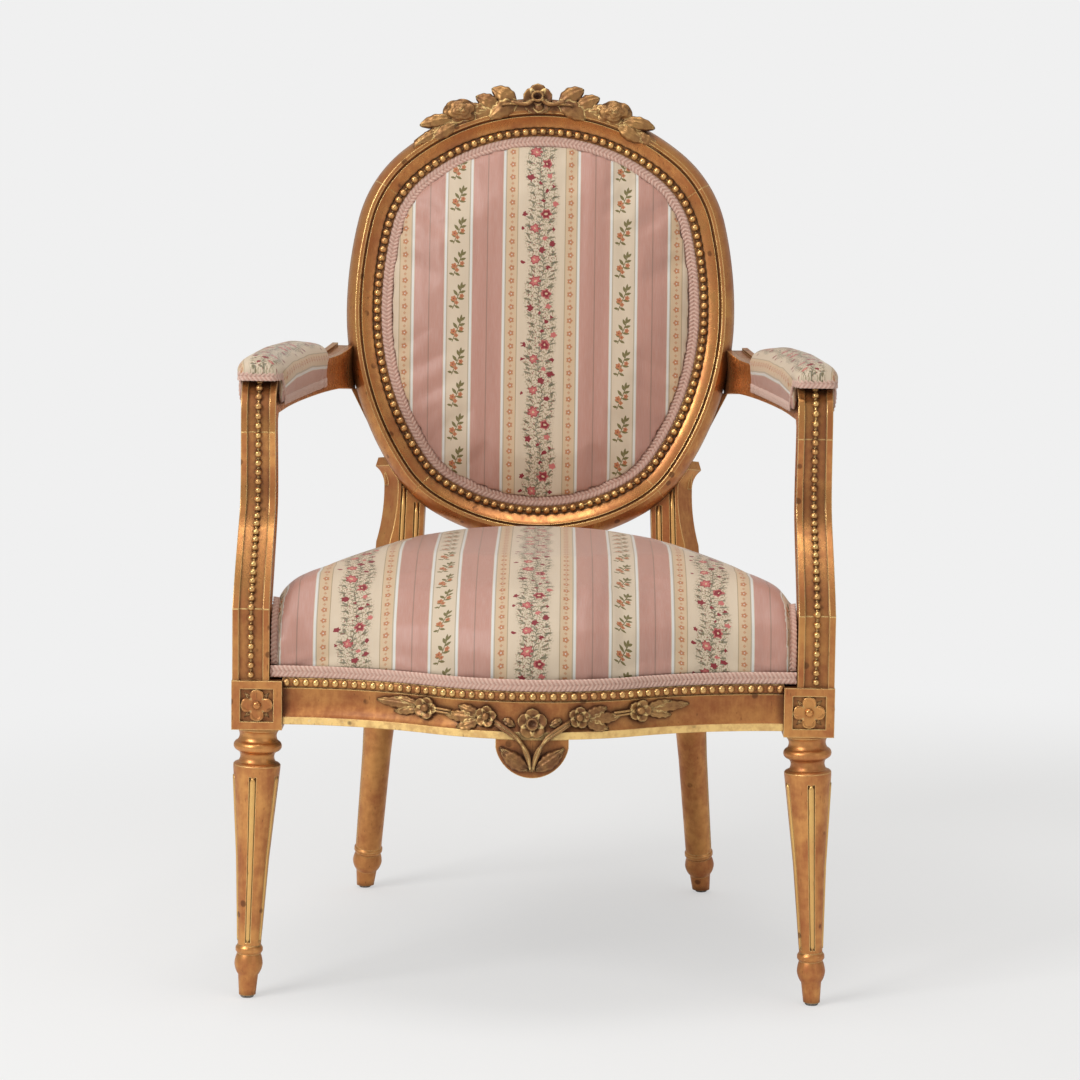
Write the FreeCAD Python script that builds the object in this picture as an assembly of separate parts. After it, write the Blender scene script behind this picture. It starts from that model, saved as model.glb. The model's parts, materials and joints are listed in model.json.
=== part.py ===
import FreeCAD, Part
import math
import os

V = FreeCAD.Vector

# Carved and gilded armchair with an oval back, upholstered seat, back and arm pads.
# Millimetres, +Z up, the chair faces -Y. Left is the -X side.
# While it is built, Y = 0 is the line through the front leg blocks and Z = 0 is the floor.

# Seat frame
FRONT_LEG_X = 284.0
BLOCK_WIDTH = 52.0
BLOCK_BOTTOM = 287.0
BLOCK_HEIGHT = 51.0
RAIL_BOTTOM = 293.0
RAIL_HEIGHT = 48.0
RAIL_THICK = 34.0
RAIL_SETBACK = 2.5
FRONT_BOW = 72.0
BOW_CENTRE_SHARE = 0.41
SIDE_BOW = 9.0
TENON_LENGTH = 24.0
TENON_THICK = 11.0
TENON_SHOULDER = 7.0
JOINT_PLAY = 0.15

# Rail moulding: lower fillet, cove, bed for the row of beads
FILLET_HEIGHT = 7.5
COVE_DEPTH = 6.0
BEAD_BED_HEIGHT = 9.6
BEAD_BED_DEPTH = 4.8
ASTRAGAL_RISE = 2.0

# Shield drop under the middle of the front rail
DROP_HALF_WIDTH = 37.0
DROP_SHOULDER = 9.0
DROP_ROUND = 30.5

# Front leg, from the block down
FRONT_SPLAY = 10.9
COLLAR_DIA = 41.5
COLLAR_HEIGHT = 15.0
RING_DIA = 50.0
RING_HEIGHT = 10.5
NECK_DIA = 37.0
NECK_HEIGHT = 13.0
SHAFT_TOP_DIA = 49.0
SHAFT_LIP = 4.0
SHAFT_SAG = 1.4
SHAFT_FOOT_DIA = 24.4
ANKLE_RING_DIA = 28.6
ANKLE_RING_HEIGHT = 8.5
ANKLE_RING_Z = 51.5
BULB_DIA = 29.6
BULB_Z = 36.0
TOE_TOP_Z = 24.0
TOE_TOP_DIA = 21.0
TOE_DIA = 17.0
GLIDE_HEIGHT = 3.0
GLIDE_DIA = 14.0
GLIDE_PIN_DIA = 3.0
GLIDE_PIN_LENGTH = 14.0
FLUTES = 5
FLUTE_TOP_RADIUS = 3.6
FLUTE_FOOT_RADIUS = 2.4
FLUTE_MARGIN = 8.0
ROD_SHARE = 0.52
ROD_ROOT = 0.62
ROD_STAND = 0.5

# Carved square on the block
PANEL_WIDTH = 34.0
PANEL_DEPTH = 4.0
PETAL_LENGTH = 16.0
PETAL_WIDTH = 14.0
PETAL_RISE = 2.6
BOSS_RADIUS = 4.4

# Stub of the front leg above the block, and the arm support on it
STUB_X = 290.4
STUB_WIDTH = 38.0
STUB_DEPTH = 38.0
STUB_FRONT_Y = -24.0
STUB_TOP = 412.0
SUPPORT_TOP = 588.0
BAR_FILLET = 6.6
BAR_GROOVE = 3.0
BAR_SIDE_COVE = 1.8

# Oval back: the path is the middle line of its row of beads
BACK_RAKE = 9.09
BACK_Y = 501.8
BACK_Z = 692.4
OVAL_HALF_WIDTH = 190.0
OVAL_TOP = 209.9
OVAL_BOTTOM = 231.5
UPPER_SIDE_RADIUS = 430.0
UPPER_CORNER_RADIUS = 114.0
UPPER_END_RADIUS = 221.0
LOWER_SIDE_RADIUS = 304.5
LOWER_CORNER_RADIUS = 100.0
LOWER_END_RADIUS = 203.0
MOULDING_OUT = 35.5
MOULDING_IN = 20.0
MOULDING_BACK = 22.0
MOULDING_RISE = 12.0
REBATE_DEPTH = 5.0
BACK_REBATE_DEPTH = 4.0
BACK_REBATE_WIDTH = 12.0
DOWEL_DIA = 8.0
DOWEL_LENGTH = 36.0
SCREW_DIA = 4.0
SCREW_HEAD_DIA = 8.0

# Rear leg and the stile above it
REAR_LEG_X = 176.0
REAR_LEG_DIA = 42.0
REAR_FOOT_X = 201.0
REAR_FOOT_Y = 542.0
REAR_ANKLE_DIA = 30.7
REAR_RING_DIA = 33.4
REAR_FLUTES = 3
STILE_FRONT = 6.0
STILE_DEPTH = 42.0
STILE_TOP_DEPTH = 34.0
STILE_BEVEL = 17.0
STILE_BEVEL_DEPTH = 20.0
STILE_OUT_BOTTOM = 199.0
STILE_OUT_SEAT = 188.0
STILE_OUT_WAIST = 179.5
STILE_OUT_SHOULDER = 190.0
STILE_IN_BOTTOM = 153.0
STILE_IN_SEAT = 133.0
STILE_IN_TOP = 129.0
SEAT_LINE_Z = 427.0
WAIST_Z = 492.0
SHOULDER_Z = 514.0
SHOULDER_RISE = 10.0
CONSOLE_TOP_Z = 603.0
CONSOLE_OUT = 220.0
CONSOLE_SETBACK = 14.0
STILE_FLUTE_WIDTH = 6.4

# Arm
ARM_FRONT_X = 289.3
ARM_FRONT_Y = 62.0
ARM_FRONT_WIDTH = 36.0
ARM_WIDTH = 34.0
ARM_TOP_FRONT = 644.0
ARM_HEIGHT = 39.0
ARM_REAR_X = 228.0
ARM_REAR_Y = 505.0
ARM_REAR_Z = 626.0
ARM_REAR_HEIGHT = 54.0

# Upholstery
CLOTH_GAP = 0.3
COVER_THICK = 1.2
WEB_THICK = 1.1
WEB_WIDTH = 50.0
HESSIAN_THICK = 0.8
SEAT_CROWN_Z = 457.0
SEAT_ROLL_Z = 403.0
SEAT_EDGE_INSET = 5.0
SEAT_REAR_Y = 478.0
SEAT_REAR_HALF = 188.0
GIMP_WIDTH = 12.0
GIMP_THICK = 2.4
BACK_PAD_RISE = 18.0
BACK_PAD_EDGE = 18.5
BACK_PAD_MIDDLE = -92.0
ARM_PAD_SIDE = 6.0
ARM_PAD_RISE = 25.0
ARM_PAD_LOW_Z = 613.0
ARM_PAD_FRONT_Y = 46.0
ARM_PAD_REAR_Y = 384.0
ARM_PAD_SKIRT_Y = 80.0

# Crest carving on top of the oval
CREST_SHIFT = -6.0
CREST_HALF_SPAN = 150.0
CREST_RISE = 7.0
ROSE_RADIUS = 17.0
ROSE_X = 89.5
FLOWER_PETAL_RADIUS = 6.9
STEM_RADIUS = 2.2

# Values that follow from the ones above
RAIL_TOP = RAIL_BOTTOM + RAIL_HEIGHT
BLOCK_TOP = BLOCK_BOTTOM + BLOCK_HEIGHT
BLOCK_HALF = BLOCK_WIDTH / 2
RAIL_HALF_SPAN = FRONT_LEG_X - BLOCK_HALF
RAIL_FRONT_Y = RAIL_SETBACK - BLOCK_HALF
SIDE_FRONT_X = FRONT_LEG_X + BLOCK_HALF - RAIL_SETBACK
SIDE_REAR_X = STILE_OUT_BOTTOM - RAIL_SETBACK
SEAT_FRONT_HALF = SIDE_FRONT_X
RAKE_COS = math.cos(math.radians(BACK_RAKE))
RAKE_SIN = math.sin(math.radians(BACK_RAKE))
BACK_FRAME = FreeCAD.Placement(
    V(0, BACK_Y, BACK_Z), FreeCAD.Rotation(V(1, 0, 0), 90 - BACK_RAKE))
FAR = 400.0


# Small helpers for wires and solids

def line(a, b):
    return Part.LineSegment(a, b).toShape()


def arc(a, m, b):
    return Part.Arc(a, m, b).toShape()


def outline(start, steps, place):
    """Closed wire from (a, b) pairs. A step is (end,) for a line or (middle, end) for an arc."""
    edges = []
    here = start
    for step in steps:
        if len(step) == 1:
            edges.append(line(place(here), place(step[0])))
        else:
            edges.append(arc(place(here), place(step[0]), place(step[1])))
        here = step[-1]
    if math.dist(here, start) > 1e-6:
        edges.append(line(place(here), place(start)))
    return Part.Wire(edges)


def face_of(start, steps, place):
    return Part.Face(outline(start, steps, place))


def plan(z):
    return lambda p: V(p[0], p[1], z)


def upright(p):
    return V(p[0], 0, p[1])


def box(x0, x1, y0, y1, z0, z1):
    return Part.makeBox(x1 - x0, y1 - y0, z1 - z0, V(x0, y0, z0))


def turned(start, steps):
    """Solid turned about the Z axis from an outline in radius and height."""
    return face_of(start, steps, upright).revolve(V(0, 0, 0), V(0, 0, 1), 360)


def lofted(wires):
    return Part.makeLoft(wires, True, True)


def slope(stations, number, column):
    before = stations[max(number - 1, 0)]
    after = stations[min(number + 1, len(stations) - 1)]
    return (after[column] - before[column]) / (after[0] - before[0])


def eased(stations, count):
    """Evenly spaced rows on a smooth curve through the given stations (place, values)."""
    rows = []
    for number in range(count + 1):
        place = stations[0][0] + (stations[-1][0] - stations[0][0]) * number / count
        k = max(i for i in range(len(stations) - 1) if stations[i][0] <= place + 1e-9)
        low, high = stations[k], stations[k + 1]
        width = high[0] - low[0]
        t = (place - low[0]) / width
        row = [place]
        for column in range(1, len(low)):
            rise = slope(stations, k, column) * width
            fall = slope(stations, k + 1, column) * width
            gap = high[column] - low[column]
            row.append(low[column] + rise * t + (3 * gap - 2 * rise - fall) * t ** 2
                       + (rise + fall - 2 * gap) * t ** 3)
        rows.append(row)
    return rows


def mirrored(shape):
    return shape.mirror(V(0, 0, 0), V(1, 0, 0))


def joined(shapes):
    first = shapes[0].fuse(shapes[1:])
    return first.removeSplitter()


def in_back(shape):
    """Moves a shape from the frame of the raked back into the chair."""
    moved = shape.copy()
    moved.Placement = BACK_FRAME.multiply(moved.Placement)
    return moved


def height_in_back(z, n=0.0):
    """Distance up the raked back that lies at height z."""
    return (z - BACK_Z - n * RAKE_SIN) / RAKE_COS


# Front legs

def flute_section(centre, out, radius):
    """Half-round channel across a surface, with a rounded rod left standing in it."""
    side = V(1, 0, 0) if out.z > 0.5 else V(-out.y, out.x, 0)
    rod = radius * ROD_SHARE
    root = radius * ROD_ROOT
    lip = radius * 1.6
    steps = [((-radius * 0.86, -root * 0.8), (-rod, -root)), ((0.0, ROD_STAND), (rod, -root)),
             ((radius * 0.86, -root * 0.8), (radius, 0.0)), ((radius, lip),), ((-radius, lip),)]
    return outline((-radius, 0.0), steps, lambda p: centre + side * p[0] + out * p[1])


def flute_cutter(azimuth, top, middle, foot):
    """Stopped and cabled flute down a tapered shaft, narrowing with it."""
    turn = math.radians(azimuth)
    out = V(math.cos(turn), math.sin(turn), 0)
    radii = [FLUTE_TOP_RADIUS, (FLUTE_TOP_RADIUS + FLUTE_FOOT_RADIUS) / 2, FLUTE_FOOT_RADIUS]
    wires = []
    for (reach, z), radius in zip((top, middle, foot), radii):
        wires.append(flute_section(out * reach + V(0, 0, z), out, radius))
    return lofted(wires)


def foot_steps():
    """Outline of the ankle ring, bulb and toe, from the shaft down to the glide."""
    ring_top = ANKLE_RING_Z + ANKLE_RING_HEIGHT / 2
    ring_foot = ANKLE_RING_Z - ANKLE_RING_HEIGHT / 2
    ring = ANKLE_RING_DIA / 2
    shaft = SHAFT_FOOT_DIA / 2
    toe = TOE_TOP_DIA / 2
    neck = (ring_foot + BULB_Z) / 2
    return [
        ((ring - 1.6, ring_top),), ((ring, ANKLE_RING_Z + 1.6),), ((ring, ANKLE_RING_Z - 1.6),),
        ((ring - 1.6, ring_foot),),
        ((shaft, ring_foot),), ((BULB_DIA / 2 - 0.8, neck), (BULB_DIA / 2, BULB_Z)),
        ((BULB_DIA / 2 - 1.6, (BULB_Z + TOE_TOP_Z) / 2 - 1), (toe, TOE_TOP_Z)),
        ((TOE_DIA / 2, 0.0),), ((TOE_DIA / 2 - 0.5, -GLIDE_HEIGHT),), ((0.0, -GLIDE_HEIGHT),)]


def front_shaft():
    """Turned part under the block, with its top in the block and its foot on the floor."""
    collar = COLLAR_DIA / 2
    ring = RING_DIA / 2
    neck = NECK_DIA / 2
    top = SHAFT_TOP_DIA / 2
    foot = SHAFT_FOOT_DIA / 2
    collar_z = BLOCK_BOTTOM - COLLAR_HEIGHT
    ring_z = collar_z - RING_HEIGHT
    neck_z = ring_z - NECK_HEIGHT
    lip_z = neck_z - SHAFT_LIP
    foot_z = ANKLE_RING_Z + ANKLE_RING_HEIGHT / 2
    middle = ((top + foot) / 2 - SHAFT_SAG, (lip_z + foot_z) / 2)
    steps = [
        ((collar + 1.2, BLOCK_BOTTOM + 2),), ((collar + 1.2, BLOCK_BOTTOM - 3),),
        ((collar - 1.5, collar_z + COLLAR_HEIGHT * 0.45), (collar + 0.6, collar_z),),
        ((ring, collar_z - RING_HEIGHT / 2), (collar, ring_z)),
        ((neck, ring_z - 2),),
        ((neck - 0.8, ring_z - NECK_HEIGHT * 0.55), (neck + 1.2, neck_z + 1.5)),
        ((top - 1.2, neck_z),), ((top, neck_z - 1.5),), ((top, lip_z),),
        (middle,), ((foot, foot_z),)] + foot_steps()
    shaft = turned((0.0, BLOCK_BOTTOM + 2), steps)
    flute_top = (top + (foot - top) * FLUTE_MARGIN / (lip_z - foot_z), lip_z - FLUTE_MARGIN)
    flute_foot = (foot, foot_z + FLUTE_MARGIN / 2)
    for number in range(FLUTES):
        azimuth = -90 + 5 + number * 360 / FLUTES
        shaft = shaft.cut(flute_cutter(azimuth, flute_top, middle, flute_foot))
    return shaft


def tilted(shape, top, foot_shift, height):
    """Leans a leg about its top so that its foot moves by foot_shift."""
    axis = V(foot_shift[0], foot_shift[1], -height)
    turn = FreeCAD.Rotation(V(0, 0, -1), axis)
    moved = shape.copy()
    moved.translate(V(0, 0, -top.z))
    moved.Placement = FreeCAD.Placement(top, turn).multiply(moved.Placement)
    return moved


def floor_cut(shape):
    return shape.cut(box(-FAR, FAR, -FAR, 2 * FAR, -FAR, GLIDE_HEIGHT))


def petal_outline(length, width):
    """Round-ended petal with its root at the origin, growing along +X."""
    half = width / 2
    return [((length * 0.45, half * 0.9), (length * 0.72, half)), ((length, 0.0),
                                                                  (length * 0.72, -half)),
            ((length * 0.45, -half * 0.9), (0.0, 0.0))]


def rosette():
    """Four petals round a boss, standing out of the floor of a square panel along +Z."""
    parts = []
    for number in range(4):
        petal = face_of((0.0, 0.0), petal_outline(PETAL_LENGTH, PETAL_WIDTH), plan(-0.4))
        solid = petal.extrude(V(0, 0, PETAL_RISE + 0.4))
        solid.rotate(V(0, 0, 0), V(0, 0, 1), 90 * number)
        parts.append(solid)
    boss = turned((0.0, -0.4), [((BOSS_RADIUS, -0.4),), ((BOSS_RADIUS, PETAL_RISE),),
                                ((BOSS_RADIUS * 0.6, PETAL_RISE + 1.4),),
                                ((0.0, PETAL_RISE + 1.4),)])
    return parts + [boss]


def panel_cutter():
    """Recess for a rosette: the square hollow less the flower that is left in it."""
    half = PANEL_WIDTH / 2
    hollow = box(-half, half, -half, half, 0, PANEL_DEPTH + 5)
    for part in rosette():
        hollow = hollow.cut(part)
    return hollow


def placed(shape, base, rotation):
    moved = shape.copy()
    moved.Placement = FreeCAD.Placement(base, rotation).multiply(moved.Placement)
    return moved


def bar_steps(width, depth, groove=BAR_GROOVE):
    """Moulded bar: two fillets with a channel between them, and hollowed sides.

    The outline is in (across, towards the show face) and starts at the back corner.
    """
    w = width / 2
    d = depth / 2
    f = BAR_FILLET
    right = [((w, -d + f),), ((w - BAR_SIDE_COVE, 0.0), (w, d - f)), ((w, d),), ((w - f, d),),
             ((w - f, d - groove),)]
    left = [((-w + f, d - groove),), ((-w + f, d),), ((-w, d),), ((-w, d - f),),
            ((-w + BAR_SIDE_COVE, 0.0), (-w, -d + f)), ((-w, -d),)]
    return (w, -d), right + left


def front_block():
    block = box(FRONT_LEG_X - BLOCK_HALF, FRONT_LEG_X + BLOCK_HALF, -BLOCK_HALF, BLOCK_HALF,
                BLOCK_BOTTOM, BLOCK_TOP)
    middle = BLOCK_BOTTOM + BLOCK_HEIGHT / 2
    recess = panel_cutter()
    face_front = V(FRONT_LEG_X, PANEL_DEPTH - BLOCK_HALF, middle)
    face_side = V(FRONT_LEG_X + BLOCK_HALF - PANEL_DEPTH, 0, middle)
    block = block.cut(placed(recess, face_front, FreeCAD.Rotation(V(1, 0, 0), 90)))
    return block.cut(placed(recess, face_side, FreeCAD.Rotation(V(0, 1, 0), 90)))


def front_stub():
    start, steps = bar_steps(STUB_WIDTH, STUB_DEPTH)
    middle_y = STUB_FRONT_Y + STUB_DEPTH / 2
    bar = face_of(start, steps, lambda p: V(STUB_X + p[0], middle_y - p[1], BLOCK_TOP - 1))
    return bar.extrude(V(0, 0, STUB_TOP - BLOCK_TOP + 1))


def tenon(x0, x1, y0, y1, play=0.0):
    return box(x0 - play, x1 + play, y0 - play, y1 + play,
               RAIL_BOTTOM + TENON_SHOULDER - play, RAIL_TOP - TENON_SHOULDER + play)


def front_rail_tenon(play=0.0):
    middle = RAIL_FRONT_Y + RAIL_THICK / 2
    x0 = RAIL_HALF_SPAN - 1
    return tenon(x0, RAIL_HALF_SPAN + TENON_LENGTH, middle - TENON_THICK / 2,
                 middle + TENON_THICK / 2, play)


def side_front_tenon(play=0.0):
    middle = SIDE_FRONT_X - RAIL_THICK / 2
    return tenon(middle - TENON_THICK / 2, middle + TENON_THICK / 2, BLOCK_HALF - TENON_LENGTH / 2,
                 BLOCK_HALF + 1, play)


def side_rear_tenon(play=0.0):
    middle = SIDE_REAR_X - RAIL_THICK / 2
    front = stile_front_y(RAIL_TOP)
    return tenon(middle - TENON_THICK / 2, middle + TENON_THICK / 2, front - TENON_THICK,
                 front + TENON_LENGTH / 2, play)


def rear_rail_tenon(play=0.0):
    middle = rear_rail_y()
    return tenon(STILE_IN_TOP - TENON_LENGTH, STILE_IN_BOTTOM + TENON_LENGTH / 2,
                 middle - TENON_THICK / 2, middle + TENON_THICK / 2, play)


def dowel(base, axis, length, play=0.0):
    start = base - axis * (length / 2 + play)
    return Part.makeCylinder(DOWEL_DIA / 2 + play, length + 2 * play, start, axis)


def stub_dowel(play=0.0):
    return dowel(V(STUB_X, STUB_FRONT_Y + STUB_DEPTH / 2, STUB_TOP), V(0, 0, 1),
                 DOWEL_LENGTH, play)


def glide(base):
    head = turned((0.0, 0.0), [((GLIDE_DIA / 2 - 1, 0.0),), ((GLIDE_DIA / 2, 1.0),),
                               ((GLIDE_DIA / 2, GLIDE_HEIGHT),), ((0.0, GLIDE_HEIGHT),)])
    pin = Part.makeCylinder(GLIDE_PIN_DIA / 2, GLIDE_PIN_LENGTH, V(0, 0, GLIDE_HEIGHT - 0.5))
    both = head.fuse(pin).removeSplitter()
    both.translate(base)
    return both


def glide_hole(base):
    return Part.makeCylinder(GLIDE_PIN_DIA / 2 + JOINT_PLAY, GLIDE_PIN_LENGTH + 1,
                             base + V(0, 0, GLIDE_HEIGHT - 1))


FRONT_FOOT = V(FRONT_LEG_X + FRONT_SPLAY, 0, 0)
REAR_FOOT = V(REAR_FOOT_X, REAR_FOOT_Y, 0)


def front_leg():
    top = V(FRONT_LEG_X, 0, BLOCK_BOTTOM)
    shaft = tilted(front_shaft(), top, (FRONT_SPLAY, 0), BLOCK_BOTTOM)
    leg = joined([floor_cut(shaft), front_block(), front_stub()])
    for hole in (front_rail_tenon(JOINT_PLAY), side_front_tenon(JOINT_PLAY),
                 stub_dowel(JOINT_PLAY), glide_hole(FRONT_FOOT)):
        leg = leg.cut(hole)
    return leg


# Rails of the seat frame

def rail_section(place, back):
    """Section of a rail: plain back and top, then bead bed, cove and lower fillet in front."""
    low = RAIL_BOTTOM
    bed = RAIL_TOP - BEAD_BED_HEIGHT
    cove_low = low + FILLET_HEIGHT + 1
    steps = [
        ((0.0, low),), ((0.0, low + FILLET_HEIGHT),), ((-1.5, cove_low),),
        ((-COVE_DEPTH, (cove_low + bed) / 2 - 1), (-BEAD_BED_DEPTH + 1, bed - 1)),
        ((-BEAD_BED_DEPTH, bed),),
        ((-BEAD_BED_DEPTH + ASTRAGAL_RISE, (bed + RAIL_TOP) / 2),
         (-BEAD_BED_DEPTH, RAIL_TOP - 0.8)),
        ((-BEAD_BED_DEPTH, RAIL_TOP),), ((-back, RAIL_TOP),)]
    return outline((-back, low), steps, place)


def bow_edges(half, depth, end_y, z):
    """Serpentine front: two hollow end arcs and one round middle arc, all tangent."""
    total = (half ** 2 + depth ** 2) / (2 * depth)
    inner = BOW_CENTRE_SHARE * total
    outer = total - inner
    sweep = math.asin(half / total)
    x = inner * math.sin(sweep)
    y = end_y - depth + inner * (1 - math.cos(sweep))
    mid_x = half - outer * math.sin(sweep / 2)
    mid_y = end_y - outer * (1 - math.cos(sweep / 2))
    return [arc(V(-half, end_y, z), V(-mid_x, mid_y, z), V(-x, y, z)),
            arc(V(-x, y, z), V(0, end_y - depth, z), V(x, y, z)),
            arc(V(x, y, z), V(mid_x, mid_y, z), V(half, end_y, z))]


def swept(path_edges, section):
    return Part.Wire(path_edges).makePipeShell([section], True, False)


def front_rail():
    path = bow_edges(RAIL_HALF_SPAN, FRONT_BOW, RAIL_FRONT_Y, 0)
    section = rail_section(lambda p: V(-RAIL_HALF_SPAN, RAIL_FRONT_Y - p[0], p[1]), RAIL_THICK)
    rail = swept(path, section)
    low = RAIL_BOTTOM - DROP_SHOULDER
    w = DROP_HALF_WIDTH
    shield = face_of((-w, RAIL_BOTTOM + FILLET_HEIGHT),
                     [((-w, low),), ((0.0, low - DROP_ROUND), (w, low)),
                      ((w, RAIL_BOTTOM + FILLET_HEIGHT),)],
                     lambda p: V(p[0], -FAR, p[1])).extrude(V(0, 2 * FAR, 0))
    band_front = bow_edges(RAIL_HALF_SPAN, FRONT_BOW, RAIL_FRONT_Y + 0.6, 0)
    ends = [V(RAIL_HALF_SPAN, RAIL_FRONT_Y + 0.6, 0), V(RAIL_HALF_SPAN, RAIL_FRONT_Y, 0),
            V(-RAIL_HALF_SPAN, RAIL_FRONT_Y, 0), V(-RAIL_HALF_SPAN, RAIL_FRONT_Y + 0.6, 0)]
    ends[1].y = ends[1].y + RAIL_THICK / 2
    ends[2].y = ends[2].y + RAIL_THICK / 2
    closing = [line(ends[0], ends[1]), line(ends[1], ends[2]), line(ends[2], ends[3])]
    band = Part.Face(Part.Wire(band_front + closing)).extrude(V(0, 0, RAIL_TOP))
    back = RAIL_FRONT_Y - FRONT_BOW + RAIL_THICK - 4
    drop = shield.common(band).common(box(-FAR, FAR, -FAR, back, 0, RAIL_TOP))
    rail = joined([rail, drop, front_rail_tenon(), mirrored(front_rail_tenon())])
    return rail


def side_rail_points(x_shift=0.0):
    front = V(SIDE_FRONT_X + x_shift, BLOCK_HALF, 0)
    rear = V(SIDE_REAR_X + x_shift, stile_front_y(RAIL_TOP), 0)
    middle = (front + rear) * 0.5 + V(SIDE_BOW, 0, 0)
    return front, middle, rear


def side_rail():
    """Right side rail: a bowed sweep, cut off flat against the block and the stile."""
    front, middle, rear = side_rail_points()
    circle = Part.Arc(front, middle, rear).toShape().Curve
    reach = 12.0

    def on_line(y):
        return V(circle.Center.x + math.sqrt(circle.Radius ** 2 - (y - circle.Center.y) ** 2), y, 0)

    start = on_line(front.y - reach)
    path = arc(start, middle, on_line(rear.y + reach))
    radial = (start - circle.Center).normalize()
    section = rail_section(lambda p: start + radial * p[0] + V(0, 0, p[1]), RAIL_THICK)
    rail = swept([path], section)
    rail = rail.cut(box(0, FAR, -FAR, BLOCK_HALF, 0, FAR))
    behind = box(0, FAR, -FAR, FAR, -FAR, -STILE_FRONT)
    rail = rail.cut(in_back(behind))
    ends = side_rear_tenon().cut(in_back(box(0, FAR, -FAR, FAR, -STILE_FRONT + 1, FAR)))
    return joined([rail, side_front_tenon(), ends])


def stile_front_y(z):
    """Depth of the stile's front face at height z."""
    s = height_in_back(z, -STILE_FRONT)
    return BACK_Y + s * RAKE_SIN + STILE_FRONT * RAKE_COS


def rear_rail_y():
    return stile_front_y(RAIL_BOTTOM) + STILE_DEPTH / 2 + 2


def rear_rail():
    """Plain rail between the rear legs, with its ends cut to the slope of the stiles."""
    middle = rear_rail_y()
    half_thick = RAIL_THICK / 2 - 4
    rail = box(-STILE_IN_BOTTOM, STILE_IN_BOTTOM, middle - half_thick, middle + half_thick,
               RAIL_BOTTOM, RAIL_TOP)
    for prism in (stile_prism(), mirrored(stile_prism())):
        rail = rail.cut(in_back(prism))
    return joined([rail, rear_rail_tenon().common(stile_side()), mirrored(
        rear_rail_tenon().common(stile_side()))])


def stile_side():
    return box(STILE_IN_TOP - TENON_LENGTH, FAR, -FAR, 2 * FAR, 0, FAR)


# Rear legs

def stile_outer_steps():
    """Outer edge of the stile, from the block up to the shoulder, in the frame of the back."""
    bottom = height_in_back(BLOCK_BOTTOM - 8)
    seat = height_in_back(SEAT_LINE_Z)
    waist = height_in_back(WAIST_Z)
    shoulder = height_in_back(SHOULDER_Z)
    top = shoulder + SHOULDER_RISE
    return bottom, seat, waist, shoulder, top


def stile_outline(inset, n):
    """Front outline of the stile up to its shoulder, with its outer edge moved in by inset."""
    bottom, seat, waist, shoulder, top = stile_outer_steps()
    out = [STILE_OUT_BOTTOM - inset, STILE_OUT_SEAT - inset, STILE_OUT_WAIST - inset,
           STILE_OUT_SHOULDER - inset]
    between = (STILE_OUT_WAIST + STILE_OUT_SHOULDER) / 2 - inset
    steps = [
        ((out[1], seat),), ((out[2] + 0.8, (seat + waist) / 2 + 9), (out[2], waist)),
        ((between - 2.2, (waist + shoulder) / 2 + 2), (out[3], shoulder)),
        ((out[3] - 3, top),), ((STILE_IN_TOP, top),), ((STILE_IN_SEAT, seat),),
        ((STILE_IN_BOTTOM, bottom),)]
    return outline((out[0], bottom), steps, plan(n))


def stile_prism():
    """Stile as sawn from the front: bevelled outer edge, full depth behind."""
    front = Part.makeLoft([stile_outline(STILE_BEVEL, -STILE_FRONT),
                           stile_outline(0.0, -STILE_FRONT - STILE_BEVEL_DEPTH)], True, True)
    rest = Part.Face(stile_outline(0.0, -STILE_FRONT - STILE_BEVEL_DEPTH))
    return front.fuse(rest.extrude(V(0, 0, -FAR / 4)))


def console():
    """Upper part of the stile, which follows the oval up to the arm."""
    bottom, seat, waist, shoulder, top = stile_outer_steps()
    arm = height_in_back(CONSOLE_TOP_Z)
    out = CONSOLE_OUT
    foot_x = STILE_OUT_SHOULDER - 11
    steps = [
        ((foot_x, top),), (((foot_x + out) / 2 - 3, (top + arm) / 2 - 6), (out, arm)),
        ((out - 30, arm),), ((out - 55, (top + arm) / 2), (STILE_IN_TOP, waist))]
    flat = face_of((foot_x, waist), steps, plan(-STILE_FRONT - CONSOLE_SETBACK))
    return flat.extrude(V(0, 0, -FAR / 4))


def stile_depth_solid():
    """Side view of the stile: straight front, back that thins towards the top."""
    bottom = height_in_back(BLOCK_BOTTOM - 8)
    seat = height_in_back(SEAT_LINE_Z)
    arm = height_in_back(CONSOLE_TOP_Z)
    top_back = -MOULDING_BACK - (STILE_TOP_DEPTH - MOULDING_BACK)
    steps = [((-STILE_FRONT, arm + 1),), ((top_back, arm + 1),),
             ((-STILE_FRONT - STILE_DEPTH, seat),), ((-STILE_FRONT - STILE_DEPTH, bottom),)]
    side = face_of((-STILE_FRONT, bottom), steps, lambda p: V(0, p[1], p[0]))
    return side.extrude(V(FAR, 0, 0))


def stile_flute(x_top, x_foot, top, foot):
    """Stopped and cabled flute in the stile's face, in the frame of the back."""
    radius = STILE_FLUTE_WIDTH / 2
    ends = [V(x_top, top, -STILE_FRONT), V(x_foot, foot, -STILE_FRONT)]
    return lofted([flute_section(end, V(0, 0, 1), radius) for end in ends])


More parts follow.
